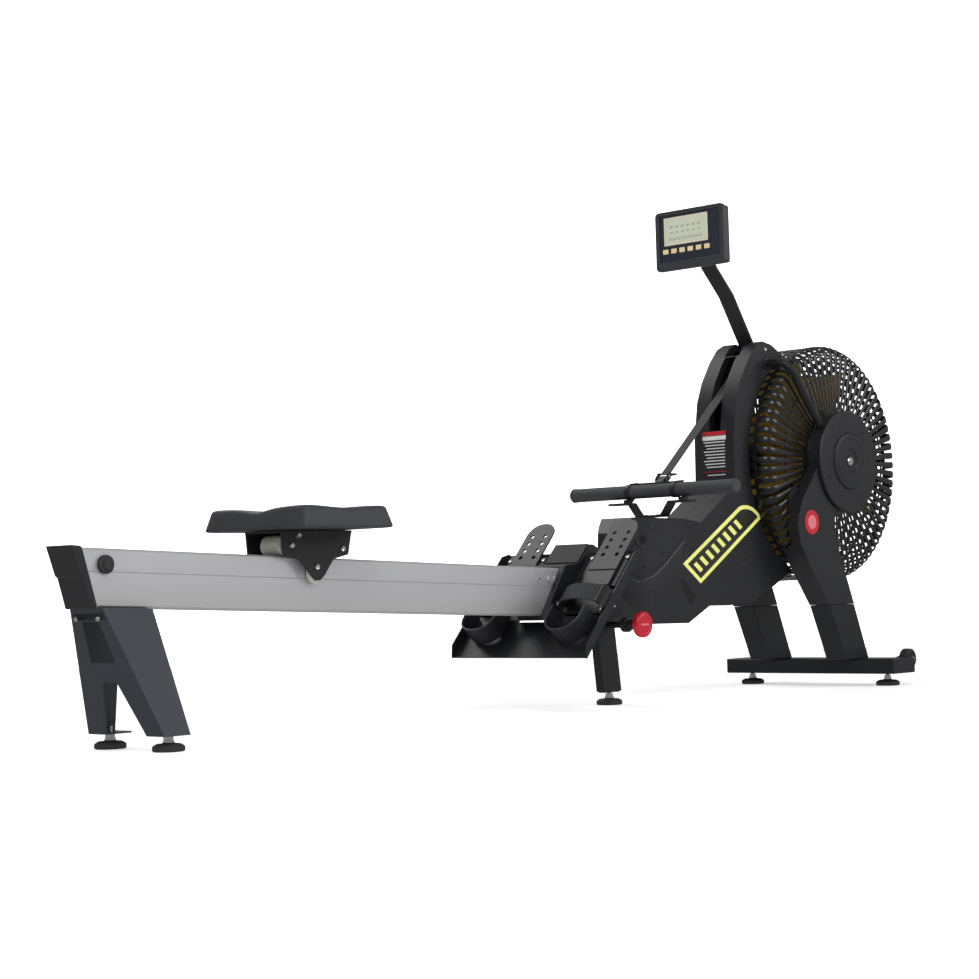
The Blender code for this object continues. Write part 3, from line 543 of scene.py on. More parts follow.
def finish_piece(bm, node, finishes, angle=35.0, rides=True):
    """Turn a bmesh into an object that stands for one solid and rides that solid's body."""
    bmesh.ops.translate(bm, vec=DATUM, verts=bm.verts)
    bmesh.ops.recalc_face_normals(bm, faces=bm.faces)
    mesh = bpy.data.meshes.new(node + "_shape")
    bm.to_mesh(mesh)
    bm.free()
    for key in finishes:
        mesh.materials.append(FINISH[key])
    mesh.polygons.foreach_set("use_smooth", [True] * len(mesh.polygons))
    mesh.set_sharp_from_angle(angle=math.radians(angle))
    obj = bpy.data.objects.new(mesh.name, mesh)
    bpy.context.scene.collection.objects.link(obj)
    if angle < 180.0:
        even = obj.modifiers.new("Even shading", "WEIGHTED_NORMAL")
        even.mode = "FACE_AREA"
        even.weight = 80
        even.keep_sharp = True
    if rides:
        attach(obj, body_name(node))
    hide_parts(node)
    return obj


def copied(node, bevel=0.0, segments=2, least=30.0):
    """A solid's own surface, merged, cleaned and with softened edges."""
    part = bmesh.new()
    part.from_mesh(frame["nodes"][node].data)
    bmesh.ops.remove_doubles(part, verts=part.verts, dist=0.00001)
    bmesh.ops.dissolve_limit(part, angle_limit=math.radians(0.5), verts=part.verts, edges=part.edges)
    bmesh.ops.recalc_face_normals(part, faces=part.faces)
    if bevel:
        rounded(part, bevel, segments, least)
    bmesh.ops.translate(part, vec=-DATUM, verts=part.verts)
    return part


def body_name(node):
    """The body that carries a solid."""
    for body, nodes in frame["record"]["behaviour"]["bodies"].items():
        if node in nodes:
            return body
    raise RuntimeError("No body carries " + node)


def refined(node, key, bevel, segments=2, least=30.0, extra=None, more=(), angle=35.0):
    """Replace one solid by its softened copy, with small details added."""
    part = copied(node, bevel, segments, least)
    if extra is not None:
        extra(part)
    return finish_piece(part, node, (key, *more), angle)


# ---------------------------------------------------------------- settings
class RowerLook(bpy.types.PropertyGroup):
    """Colours and edge sizes shared by the pieces"""
    housing_colour: FloatVectorProperty(name="Housing colour",
                                        description="Base colour of the moulded covers",
                                        default=(0.0125, 0.0130, 0.0150), subtype="COLOR", size=3)
    frame_colour: FloatVectorProperty(name="Frame colour", description="Base colour of the painted steel",
                                      default=(0.0100, 0.0108, 0.0130), subtype="COLOR", size=3)
    seat_colour: FloatVectorProperty(name="Seat colour", description="Base colour of the moulded seat",
                                     default=(0.030, 0.031, 0.037), subtype="COLOR", size=3)
    blade_colour: FloatVectorProperty(name="Blade colour", description="Base colour of the fan's vanes",
                                      default=(0.30, 0.185, 0.017), subtype="COLOR", size=3)
    accent_colour: FloatVectorProperty(name="Accent colour", description="Colour of the knob and the badges",
                                       default=(0.50, 0.008, 0.022), subtype="COLOR", size=3)
    edge: FloatProperty(name="Edge radius", description="Rounding of the moulded covers' edges",
                        default=0.0022, unit="LENGTH", min=0.0005, max=0.004)


class RowerGuard(bpy.types.PropertyGroup):
    """Sizes of the fan's guard"""
    ribs: IntProperty(name="Ribs", description="Radial fingers on each side of the guard", default=72,
                      min=24, max=90)
    rib_share: FloatProperty(name="Rib width", description="Part of the pitch that a finger fills",
                             default=0.66)
    band_rows: IntProperty(name="Band rows", description="Rows of holes across the perforated band",
                           default=6)


class RowerStage(bpy.types.PropertyGroup):
    """Camera and light"""
    lens: FloatProperty(name="Lens", description="Focal length for a 36 mm sensor", default=78.15,
                        unit="CAMERA", min=20.0, max=200.0)
    key_power: FloatProperty(name="Key light", description="Strength of the large soft light", default=105.0,
                             unit="POWER")
    sky: FloatProperty(name="Fill", description="Brightness of the surroundings", default=0.34)


# ---------------------------------------------------------------- rail and supports
def rail_section():
    """Half of the rail's section as (y, depth below the top)."""
    points = [(0.0, 0.0), (0.0228, 0.0), (0.0234, -0.0009), (0.0240, 0.0), (0.0300, 0.0), (0.0330, -0.0035)]
    points += [(0.0330, -0.0385), (0.0319, -0.0397), (0.0330, -0.0409), (0.0330, -0.0965), (0.0300, -0.1000)]
    return points


def rail_surface():
    part = bmesh.new()
    half = rail_section()
    ring = half + [(-y, z) for y, z in reversed(half) if y > 0.0]
    x0 = -1.1890
    x1 = 0.100
    ends = [(x0 - z * END_SLOPE, y, z) for y, z in ring]
    face = part.faces.new([part.verts.new((x, y, rail_top(x) + z)) for x, y, z in ends])
    made = bmesh.ops.extrude_face_region(part, geom=[face])["geom"]
    far = only(bmesh.types.BMVert, made)
    for v in far:
        z = v.co.z - rail_top(v.co.x)
        v.co = Vector((x1, v.co.y, rail_top(x1) + z))
    bmesh.ops.recalc_face_normals(part, faces=part.faces)
    return part


class ROWER_OT_rail(bpy.types.Operator):
    """Build the aluminium rail with its end cap, stops and bolts"""
    bl_idname = "rower.rail"
    bl_label = "Rail"

    def execute(self, context):
        part = rail_surface()
        for side, _ in SIDES:
            screw(part, (-0.033, side * 0.033, 0.272), (0, side, 0), 0.0050, 0.0022, 1)
            screw(part, (0.020, side * 0.033, 0.272), (0, side, 0), 0.0085, 0.0040, 1)
            rod(part, (0.002, side * 0.0330, 0.273), (0.002, side * 0.0362, 0.273), 0.0070, 20)
        finish_piece(part, "rail", ("aluminium", "zinc"), 25.0)
        refined("rail_end_cap", "housing", 0.0025, 3, extra=self.cap_details,
                more=("dark_and_recess_shade", "zinc"))
        for side, tag in SIDES:
            refined("rail_stop_" + tag, "rubber", 0.0010, 2)
        return {"FINISHED"}

    def cap_details(self, part):
        for side, _ in SIDES:
            rod(part, (-1.1700, side * 0.0346, 0.2570), (-1.1700, side * 0.0350, 0.2570), 0.0035, 16)
        dot = [(0.0, 0.0), (0.004, 0.0), (0.004, 0.001), (0.0, 0.001)]
        merge(part, turned(dot, (-1.205, 0.0, 0.330), "X", 16), 1)


class ROWER_OT_rear_leg(bpy.types.Operator):
    """Build the folded rear leg and its bolts"""
    bl_idname = "rower.rear_leg"
    bl_label = "Rear leg"

    def execute(self, context):
        refined("rear_leg", "leg_paint", 0.0011, 2, extra=self.bolts, more=("zinc",))
        return {"FINISHED"}

    def bolts(self, part):
        for y in (-0.030, 0.030):
            screw(part, (-1.1570, y, 0.2270), (-0.77, 0, 0.10), 0.0045, 0.0022, 1)


FEET = (("rear_foot_near", -1.0525, -0.0794, 0.040), ("rear_foot_far", -1.0525, 0.0794, 0.040),
        ("mid_foot", 0.2251, 0.0, 0.050), ("front_foot_near", 1.0348, -0.195, 0.050),
        ("front_foot_far", 1.0348, 0.195, 0.050))


class ROWER_OT_feet(bpy.types.Operator):
    """Build the five levelling feet"""
    bl_idname = "rower.feet"
    bl_label = "Levelling feet"

    def execute(self, context):
        for name, x, y, top in FEET:
            self.one_foot(name, x, y, top)
        return {"FINISHED"}

    def one_foot(self, name, x, y, top):
        pad = [(0.0, 0.0), (0.0255, 0.0), (0.0275, 0.0012), (0.0280, 0.0030), (0.0280, 0.0075),
               (0.0272, 0.0092)]
        pad += [(0.0225, 0.0124), (0.0200, 0.0132), (0.0110, 0.0136), (0.0104, 0.0142), (0.0104, 0.0152),
                (0.0, 0.0152)]
        part = turned(pad, (x, y, 0.0), "Z", 40)
        rod(part, (x, y, 0.0150), (x, y, 0.0185), 0.0100, 6, 1)
        rod(part, (x, y, 0.0190), (x, y, 0.0248), 0.0088, 6, 1)
        thread = [(0.0, 0.0150)]
        steps = int((top - 0.016) / 0.00125)
        for k in range(steps):
            thread += [(0.0049, 0.0160 + 0.00125 * k), (0.0042, 0.0160 + 0.00125 * k + 0.0006)]
        thread += [(0.0045, top), (0.0, top)]
        merge(part, turned(thread, (x, y, 0.0), "Z", 16), 1)
        finish_piece(part, name, ("rubber", "zinc"))


class ROWER_OT_mid_leg(bpy.types.Operator):
    """Build the oval middle leg"""
    bl_idname = "rower.mid_leg"
    bl_label = "Middle leg"

    def execute(self, context):
        refined("mid_leg", "paint", 0.0060, 4, extra=self.foot_plug, more=("rubber",))
        return {"FINISHED"}

    def foot_plug(self, part):
        block(part, (0.1985, -0.0085, 0.0268), (0.2520, 0.0085, 0.0300), 0.001)


class ROWER_OT_knob(bpy.types.Operator):
    """Build the red pull knob with its raised ring and stepped collar"""
    bl_idname = "rower.knob"
    bl_label = "Release knob"

    def execute(self, context):
        centre = (0.218, 0.0, 0.172)
        cap = [(0.0, -0.1095), (0.0165, -0.1095), (0.0180, -0.1112), (0.0205, -0.1120), (0.0240, -0.1112)]
        cap += [(0.0268, -0.1090), (0.0280, -0.1060), (0.0280, -0.1000), (0.0268, -0.0968), (0.0225, -0.0942)]
        cap += [(0.0112, -0.0938), (0.0, -0.0938)]
        part = turned(cap, centre, "Y", 48)
        block(part, (0.2050, -0.1108, 0.1700), (0.2310, -0.1090, 0.1740), 0.0008, finish=1)
        neck = [(0.0, -0.0945), (0.0110, -0.0945), (0.0110, -0.0670), (0.0155, -0.0660), (0.0160, -0.0650)]
        neck += [(0.0160, -0.0530), (0.0150, -0.0520), (0.0070, -0.0515), (0.0070, -0.0112), (0.0, -0.0112)]
        merge(part, turned(neck, centre, "Y", 32), 2)
        finish_piece(part, "release_knob", ("red", "pale_red", "dark_paint"))
        return {"FINISHED"}


class ROWER_OT_stabiliser(bpy.types.Operator):
    """Build the front stabiliser with its end caps, legs and transport wheels"""
    bl_idname = "rower.stabiliser"
    bl_label = "Front stabiliser"

    def execute(self, context):
        refined("front_stabiliser", "paint", 0.0008, 2, 50.0, extra=self.caps,
                more=("housing", "zinc"))
        for side, tag in SIDES:
            refined("front_leg_" + tag, "paint", 0.0030, 3)
            self.wheel(side, tag)
        return {"FINISHED"}

    def caps(self, part):
        for side, _ in SIDES:
            y0, y1 = sorted((side * 0.2375, side * 0.2410))
            block(part, (0.9905, y0, 0.0305), (1.0835, y1, 0.0625), 0.0020, finish=1)
            for x in (1.004, 1.020):
                screw(part, (x, side * 0.110, 0.0640), (0, 0, 1), 0.0050, 0.0025, 2)
            for offset in (-1.0, 1.0):
                pin = (WHEEL.x, side * WHEEL.y + offset * 0.0155, WHEEL.z)
                screw(part, pin, (0, offset, 0), 0.0050, 0.0020, 2)

    def wheel(self, side, tag):
        tyre = [(0.0046, -0.0105), (0.0080, -0.0105), (0.0090, -0.0085), (0.0155, -0.0085), (0.0165, -0.0108)]
        tyre += [(0.0215, -0.0108), (0.0236, -0.0090), (0.0240, -0.0060), (0.0240, 0.0060), (0.0236, 0.0090)]
        tyre += [(0.0215, 0.0108), (0.0165, 0.0108), (0.0155, 0.0085), (0.0090, 0.0085), (0.0080, 0.0105)]
        tyre += [(0.0046, 0.0105), (0.0046, -0.0105)]
        part = turned(tyre, (WHEEL.x, side * WHEEL.y, WHEEL.z), "Y", 40)
        finish_piece(part, "transport_wheel_" + tag, ("rubber",))


# ---------------------------------------------------------------- housing
def on_drum(edge):
    """True for the edges that follow the fan's circle."""
    return all(abs(math.hypot(v.co.x - FAN.x, v.co.z - FAN.z) - 0.283) < 0.002 for v in edge.verts)


def rim_edges(part, level, skip):
    """Sharp edges lying in the outer face |y| = level."""
    out = []
    for e in part.edges:
        flat = all(abs(abs(v.co.y) - level) < 1e-4 for v in e.verts)
        if flat and is_sharp(e, 0.5) and not skip(e):
            out.append(e)
    return out


NOSE_PANEL = [(0.236, 0.292), (0.283, 0.271), (0.323, 0.284), (0.358, 0.303), (0.400, 0.334), (0.443, 0.366)]
NOSE_PANEL += [(0.470, 0.386), (0.438, 0.396), (0.330, 0.4005), (0.274, 0.3995), (0.245, 0.372),
               (0.233, 0.320)]
NOSE_BAND = [(0.229, 0.247), (0.270, 0.233), (0.310, 0.238), (0.350, 0.254), (0.386, 0.278), (0.425, 0.303)]
NOSE_BAND += [(0.441, 0.357), (0.400, 0.328), (0.358, 0.297), (0.323, 0.278), (0.283, 0.265), (0.232, 0.284)]
LABEL = [(0.429, 0.300), (0.492, 0.255), (0.737, 0.404), (0.716, 0.420), (0.700, 0.428), (0.683, 0.432),
         (0.664, 0.432)]
LABEL += [(0.648, 0.428)]


def nose_inset(x):
    """How far the narrowing rear of the housing has moved in from its widest line."""
    return max(0.0, (0.322 - x) * 0.1556) + max(0.0, (0.290 - x) * 0.2319) + max(0.0, (0.250 - x) * 0.2125)


def wrapped(part, side):
    """Bend a flat side panel round the narrowing rear of the housing."""
    for x in (0.250, 0.290, 0.322):
        geom = part.verts[:] + part.edges[:] + part.faces[:]
        bmesh.ops.bisect_plane(part, geom=geom, dist=1e-6, plane_co=(x, 0, 0), plane_no=(1, 0, 0))
    for v in part.verts:
        v.co.y -= side * nose_inset(v.co.x)
    return part


class ROWER_OT_housing(bpy.types.Operator):
    """Build the two halves of the fan housing with their panels, label and screws"""
    bl_idname = "rower.housing"
    bl_label = "Fan housing"

    def execute(self, context):
        for side, tag in SIDES:
            self.half(side, tag, context.scene.rower_look.edge)
        return {"FINISHED"}

    def half(self, side, tag, edge):
        part = copied("housing_" + tag)
        chamfer(part, rim_edges(part, SHELL_FACE, on_drum), 0.0130)
        rounded(part, edge * 0.7, 2, 24.0)
        merge(part, wrapped(side_plate(NOSE_PANEL, side, 0.0500, 0.0578, 0.0025, 3), side), 0)
        merge(part, wrapped(side_plate(NOSE_BAND, side, 0.0490, 0.0572, 0.0060, 4), side), 1)
        self.label(part, side)
        self.nose_marks(part, side)
        for x, z in ((0.775, 0.800), (0.800, 0.342)):
            screw(part, (x, side * 0.0562, z), (0, side, 0), 0.0042, 0.0016, 3)
        # These flat screw plugs take the darkened plastic: painted shade in their sunken seats.
        for x, z, y in ((0.354, 0.325, 0.0577), (0.295, 0.295, 0.0577), (0.340, 0.181, 0.0440),
                        (0.452, 0.213, 0.0560)):
            screw(part, (x, side * (y - nose_inset(x)), z), (0, side, 0), 0.0048, 0.0008, 2)
        for x, z in ((0.655, 0.470), (0.650, 0.585), (0.664, 0.640)):
            screw(part, (x + 0.012, side * 0.0560, z), (0, side, 0), 0.0036, 0.0008, 2)
        if side < 0.0:
            self.slot_back(part)
            self.notice(part)
        finishes = ("housing", "housing_gloss", "dark_and_recess_shade", "zinc", "yellow", "label_black", "housing_highlight",
                    "red",
                    "label_white")
        finish_piece(part, "housing_" + tag, finishes, 28.0)

    def slot_back(self, part):
        """Near-black sheet between the strap's slot and the fan: painted shade inside the slot."""
        arc = []
        for radius, order in ((0.2836, 1), (0.2860, -1)):
            row = [(FAN.x + radius * math.cos(math.radians(a)), FAN.z + radius * math.sin(math.radians(a)))
                   for a in range(126, 200, 4)]
            arc += row[::order]
        merge(part, plate(arc, -0.0520, 0.0520), 2)

    def notice(self, part):
        """Plain panel of colour blocks and bars on the tower's rear face."""
        self.patch(part, (-0.0345, 0.4960), (0.0345, 0.6060), 0.0006, 5)
        self.patch(part, (-0.0330, 0.5960), (0.0330, 0.6050), 0.0009, 7)
        self.patch(part, (-0.0330, 0.5850), (0.0330, 0.5945), 0.0009, 8)
        for k in range(9):
            z = 0.5790 - 0.0072 * k
            self.patch(part, (-0.0300, z), (0.0300 - 0.004 * (k % 3), z + 0.0022), 0.0009, 8)
        self.patch(part, (-0.0320, 0.5110), (0.0320, 0.5120), 0.0009, 7)
        self.patch(part, (-0.0300, 0.5030), (0.0200, 0.5050), 0.0009, 8)

    def patch(self, part, low, high, depth, finish):
        sheet = bmesh.new()
        block(sheet, (0.6368 - depth, low[0], low[1]), (0.6376, high[0], high[1]), 0.0)
        turn = Matrix.Rotation(math.atan2(0.002, 0.106), 3, "Y")
        bmesh.ops.rotate(sheet, cent=(0.6360, 0.0, 0.480), matrix=turn, verts=sheet.verts)
        merge(part, sheet, finish)

    def label(self, part, side):
        merge(part, side_plate(LABEL, side, 0.0560, 0.0569, 0.0002, 1), 4)
        inner = side_plate(LABEL, side, 0.0562, 0.0571, 0.0)
        faces = [f for f in inner.faces if abs(f.normal.y) > 0.9]
        bmesh.ops.inset_region(inner, faces=[f for f in faces if abs(f.calc_center_median().y) > 0.0568],
                               thickness=0.0092, use_even_offset=True)
        keep = max((f for f in inner.faces if abs(f.calc_center_median().y) > 0.0570),
                   key=lambda f: f.calc_area())
        bmesh.ops.delete(inner, geom=[f for f in inner.faces if f is not keep], context="FACES")
        merge(part, inner, 5)
        self.stripes(part, side)

    def stripes(self, part, side):
        """Row of plain slanted bars on the label."""
        start = Vector((0.4913, 0.2803))
        step = Vector((0.854, 0.520)) * 0.0262
        lean = Vector((-0.814, 0.581)) * 0.0300
        thick = Vector((0.854, 0.520)) * 0.0120
        for k in range(8):
            a = start + step * k
            corners = (a, a + thick, a + thick + lean, a + lean)
            merge(part, side_plate([tuple(c) for c in corners], side, 0.0569, 0.05725, 0.0), 4)

    def nose_marks(self, part, side):
        ring = [(0.0, 0.0578), (0.0100, 0.0578), (0.0110, 0.0592), (0.0185, 0.0592), (0.0200, 0.0580),
                (0.0200, 0.0560)]
        merge(part, wrapped(side_turned(ring, side, (0.292, 0.0, 0.353), 32), side), 0)
        pad = [(0.311, 0.376), (0.343, 0.378), (0.336, 0.397), (0.306, 0.397)]
        merge(part, wrapped(side_plate(pad, side, 0.0570, 0.0588, 0.0008), side), 0)
        wedge = [(0.415, 0.266), (0.427, 0.266), (0.474, 0.226), (0.458, 0.210), (0.446, 0.212)]
        merge(part, side_plate(wedge, side, 0.0560, 0.0567, 0.0002), 2)
        line = [(0.602, 0.2770), (0.703, 0.3130), (0.800, 0.3750)]
        self.crease(part, [(0.492, 0.2550), (0.548, 0.2640)] + line, side)
        self.crease(part, [(0.377, 0.3260), (0.400, 0.3160), (0.425, 0.3050)], side)

    def crease(self, part, line, side):
        # The thin bar takes the lighter housing plastic: a painted highlight along the crease.
        path = [(x, side * 0.0563, z) for x, z in line]
        merge(part, swept(path, 0.0008, 8), 6)


def smooth_path(points, per_span=5):
    """Points on a smooth curve through the given ones."""
    pts = [Vector(p) for p in points]
    pts = [pts[0] * 2 - pts[1]] + pts + [pts[-1] * 2 - pts[-2]]
    out = []
    for i in range(1, len(pts) - 2):
        a, b, c, d = pts[i - 1:i + 3]
        for k in range(per_span):
            t = k / per_span
            bend = (2 * a - 5 * b + 4 * c - d) * t * t + (3 * b - a - 3 * c + d) * t ** 3
            out.append(0.5 * (2 * b + (c - a) * t + bend))
    return out + [pts[-2]]


class ROWER_OT_arms(bpy.types.Operator):
    """Build the moulded arm covers, the hub covers and the brace tubes"""
    bl_idname = "rower.arms"
    bl_label = "Fan arms and hub"

    def execute(self, context):
        for side, tag in SIDES:
            self.arm(side, tag)
            self.hub(side, tag)
            self.brace(side, tag)
        return {"FINISHED"}

    def arm(self, side, tag):
        part = copied("arm_cover_" + tag)
        rear = lambda e: any(v.co.x > 0.900 or v.co.z < 0.200 for v in e.verts)
        chamfer(part, rim_edges(part, 0.138, rear), 0.0150, 4)
        rounded(part, 0.0014, 2, 40.0)
        badge = [(0.0, 0.1380), (0.0285, 0.1380), (0.0285, 0.1386), (0.0278, 0.1390), (0.0, 0.1390)]
        merge(part, side_turned(badge, side, BADGE, 48), 1)
        ring = [(0.0, 0.1389), (0.0165, 0.1389), (0.0165, 0.1392), (0.0, 0.1392)]
        merge(part, side_turned(ring, side, BADGE, 40), 2)
        # The seam and the screw plug take the darkened plastic: a dark joint, and painted shade in the plug's
        # seat.
        seam = [(0.8840, side * 0.1376, 0.1972), (0.9903, side * 0.1376, 0.1972)]
        merge(part, swept(seam, 0.0008, 8), 3)
        for x, z in ((0.925, 0.452),):
            screw(part, (x, side * 0.1378, z), (0, side, 0), 0.0042, 0.0010, 3)
        finish_piece(part, "arm_cover_" + tag, ("housing", "red", "pale_red", "dark_and_recess_shade"),
                     30.0)

    def hub(self, side, tag):
        profile = [(0.0, 0.1085), (0.1165, 0.1085), (0.1165, 0.1378), (0.1205, 0.1380), (0.1215, 0.1392)]
        profile += [(0.1215, 0.1440), (0.1200, 0.1462), (0.1175, 0.1470), (0.0690, 0.1470), (0.0678, 0.1462)]
        profile += [(0.0668, 0.1470), (0.0660, 0.1500), (0.0640, 0.1512), (0.0560, 0.1518), (0.0545, 0.1508)]
        profile += [(0.0530, 0.1518), (0.0300, 0.1522), (0.0285, 0.1512), (0.0270, 0.1490), (0.0, 0.1488)]
        part = side_turned(profile, side, FAN, 64)
        bolt = [(0.0, 0.1488), (0.0105, 0.1488), (0.0105, 0.1500), (0.0088, 0.1524), (0.0, 0.1530)]
        merge(part, side_turned(bolt, side, FAN, 24), 1)
        # The hexagon socket and the flat screw plugs take the darkened plastic: painted shade in their
        # recesses.
        rod(part, FAN + Vector((0, side * 0.1480, 0)), FAN + Vector((0, side * 0.1500, 0)), 0.0150, 6, 2)
        for degrees in (205.0, 300.0, 48.0, 110.0):
            a = math.radians(degrees)
            spot = FAN + Vector((0.094 * math.cos(a), side * 0.1470, 0.094 * math.sin(a)))
            screw(part, spot, (0, side, 0), 0.0048, 0.0008, 2)
        finish_piece(part, "hub_cover_" + tag, ("housing", "zinc", "dark_and_recess_shade"), 30.0)

    def brace(self, side, tag):
        path = [(0.780, 0.0572, 0.766), (0.780, 0.080, 0.766), (0.782, 0.104, 0.762)]
        path += [(0.796, 0.1205, 0.739), (0.822, 0.1240, 0.699), (0.891, 0.1255, 0.6195)]
        part = swept(smooth_path([(x, side * y, z) for x, y, z in path], 4), 0.0095, 20)
        flange = [(0.0, 0.0566), (0.0150, 0.0566), (0.0160, 0.0574), (0.0160, 0.0590), (0.0145, 0.0600),
                  (0.0, 0.0600)]
        merge(part, side_turned(flange, side, (0.780, 0.0, 0.766), 32), 0)
        finish_piece(part, "brace_" + tag, ("paint",))


# ---------------------------------------------------------------- fan and guard
def tapered(path, scales, sides):
    """Bar in the plane through the fan's axis, with its own half width and half thickness at each point."""
    part = bmesh.new()
    bmesh.ops.create_circle(part, segments=sides, radius=1.0, cap_ends=True)
    return drawn(part, [Vector(p) for p in path], Vector((0.0, 0.0, 1.0)), scales)


def around(part, count):
    """Repeat a part round the fan's axis."""
    geom = part.verts[:] + part.edges[:] + part.faces[:]
    bmesh.ops.spin(part, geom=geom, cent=FAN, axis=(0.0, 1.0, 0.0), angle=2.0 * math.pi * (count - 1) / count,
                   steps=count - 1, use_duplicate=True)


class ROWER_OT_guard(bpy.types.Operator):
    """Build the guard: tapered fingers on both faces, rings and the perforated band between them"""
    bl_idname = "rower.guard"
    bl_label = "Fan guard"

    def execute(self, context):
        sizes = context.scene.rower_guard
        for side, tag in SIDES:
            part = self.fingers(side, sizes)
            for profile in self.rings(side):
                merge(part, turned(profile, FAN, "Y", 96))
            finish_piece(part, "fan_guard_" + tag, ("guard",))
        self.band(sizes.ribs, sizes.band_rows)
        return {"FINISHED"}

    def fingers(self, side, sizes):
        count = sizes.ribs
        path = [(0.118, 0.1058), (0.160, 0.1062), (0.208, 0.1062), (0.248, 0.1058), (0.262, 0.1044)]
        path += [(0.2725, 0.0985), (0.2782, 0.0890), (0.2790, 0.0790), (0.2790, 0.0700)]
        pitch = 2.0 * math.pi / count
        scales = [(0.5 * pitch * r * sizes.rib_share, 0.0020) for r, y in path]
        points = [FAN + Vector((r, side * y, 0.0)) for r, y in path]
        part = tapered(points, scales, 8)
        around(part, count)
        return part

    def rings(self, side):
        def ring(r0, r1, y0, y1):
            return [(r0, side * y0), (r1, side * y0), (r1, side * y1), (r0, side * y1), (r0, side * y0)]
        return (ring(0.1170, 0.1270, 0.1020, 0.1078), ring(0.2060, 0.2095, 0.1030, 0.1062),
                ring(0.2770, 0.2808, 0.0670, 0.0730))

    def band(self, count, rows):
        high = 0.139 / rows
        wide = 2.0 * math.pi * 0.2800 / count
        part = bmesh.new()
        for row in range(rows):
            cell = bmesh.new()
            bmesh.ops.create_grid(cell, x_segments=1, y_segments=1, size=0.5)
            bmesh.ops.scale(cell, vec=(wide, high, 1.0), verts=cell.verts)
            hole = bmesh.ops.inset_individual(cell, faces=cell.faces[:], thickness=0.0060)
            inner = min(cell.faces, key=lambda f: f.calc_center_median().length)
            corners = inner.verts[:]
            bmesh.ops.delete(cell, geom=[inner], context="FACES")
            bmesh.ops.bevel(cell, geom=corners, offset=0.0050, offset_type="OFFSET", segments=3, profile=0.5,
                            affect="VERTICES", clamp_overlap=True, material=-1)
            bmesh.ops.rotate(cell, cent=(0, 0, 0), matrix=Matrix.Rotation(math.radians(90.0), 3, "Y"),
                             verts=cell.verts)
            bmesh.ops.translate(cell, vec=FAN + Vector((0.2798, -0.0695 + high * (row + 0.5), 0.0)),
                                verts=cell.verts)
            shift = Matrix.Rotation(0.5 * (row % 2) * 2.0 * math.pi / count, 3, "Y")
            bmesh.ops.rotate(cell, cent=FAN, matrix=shift, verts=cell.verts)
            around(cell, count)
            bmesh.ops.remove_doubles(cell, verts=cell.verts, dist=0.0003)
            merge(part, cell)
        bmesh.ops.solidify(part, geom=part.faces[:], thickness=0.0016)
        rod(part, (0.772, 0.030, 0.7300), (0.766, 0.030, 0.7362), 0.0080, 6)
        finish_piece(part, "fan_band", ("guard",))


class ROWER_OT_fan(bpy.types.Operator):
    """Build the fan's rotor and axle"""
    bl_idname = "rower.fan"
    bl_label = "Fan rotor"

    def execute(self, context):
        refined("fan_rotor", "blade", 0.0009, 2, extra=self.end_plates, more=("guard",))
        refined("fan_axle", "zinc", 0.0008, 2)
        return {"FINISHED"}

    def end_plates(self, part):
        for side, _ in SIDES:
            disc = [(0.0450, 0.0905), (0.0580, 0.0730), (0.0620, 0.0700), (0.0620, 0.0660), (0.0400, 0.0660)]
            merge(part, side_turned(disc + disc[:1], side, FAN, 40), 1)


# ---------------------------------------------------------------- handle, strap and hook
def ribbon(points, across, width, thick):
    """Flat strap along points, lying across a fixed direction."""
    part = bmesh.new()
    bmesh.ops.create_grid(part, x_segments=1, y_segments=1, size=0.5)
    return drawn(part, [Vector(p) for p in points], Vector(across).normalized(),
                 [(width, thick)] * len(points))


def straight(a, b, count):
    a = Vector(a)
    b = Vector(b)
    return [a.lerp(b, k / (count - 1)) for k in range(count)]


class ROWER_OT_handle(bpy.types.Operator):
    """Build the pull handle with its clamps, yoke and swivel, and the hook that holds it"""
    bl_idname = "rower.handle"
    bl_label = "Handle and hook"

    def execute(self, context):
        part = copied("handle", 0.0009, 2)
        for face in part.faces:
            c = face.calc_center_median()
            face.material_index = 1 if math.hypot(c.x - HANDLE.x, c.z - HANDLE.z) > 0.0160 else 0
        for side, _ in SIDES:
            clamp = [(0.0150, -0.0065), (0.0172, -0.0065), (0.0176, -0.0055), (0.0176, 0.0055),
                     (0.0172, 0.0065), (0.0150, 0.0065)]
            merge(part, turned(clamp, HANDLE + Vector((0, side * 0.064, 0)), "Y", 32), 1)
            ring = [(0.0150, -0.0030), (0.0162, -0.0030), (0.0162, 0.0030), (0.0150, 0.0030)]
            merge(part, turned(ring, HANDLE + Vector((0, side * 0.2240, 0)), "Y", 32), 0)
        self.swivel(part)
        finish_piece(part, "handle", ("grip", "dark_paint", "zinc"))
        hook = copied("handle_hook", 0.0012, 2)
        for face in hook.faces:
            c = face.calc_center_median()
            face.material_index = 1 if 0.070 < abs(c.y) < 0.084 and c.z > 0.4402 else 0
        screw(hook, (0.396, 0.018, 0.4100), (0, 0, 1), 0.0050, 0.0022, 2)
        screw(hook, (0.396, -0.018, 0.4100), (0, 0, 1), 0.0050, 0.0022, 2)
        finish_piece(hook, "handle_hook", ("dark_paint", "rubber", "zinc"))
        return {"FINISHED"}

    def swivel(self, part):
        cheek = [(0.4300, 0.4800), (0.4420, 0.4860), (0.4520, 0.4950), (0.4500, 0.5060), (0.4400, 0.5050),
                 (0.4290, 0.4920)]
        for y in (-0.0152, 0.0132):
            merge(part, plate(cheek, y, y + 0.0020, 0.0005), 1)
        rod(part, (0.4430, -0.0170, 0.4970), (0.4430, 0.0170, 0.4970), 0.0030, 16, 2)
        wing = bmesh.new()
        bmesh.ops.create_uvsphere(wing, u_segments=20, v_segments=10, radius=1.0)
        bmesh.ops.scale(wing, vec=(0.0085, 0.0300, 0.0030), verts=wing.verts)
        bmesh.ops.rotate(wing, cent=(0, 0, 0), matrix=Matrix.Rotation(math.radians(-20.0), 3, "Y"),
                         verts=wing.verts)
        bmesh.ops.translate(wing, vec=(0.4560, 0.0, 0.5010), verts=wing.verts)
        merge(part, wing, 1)


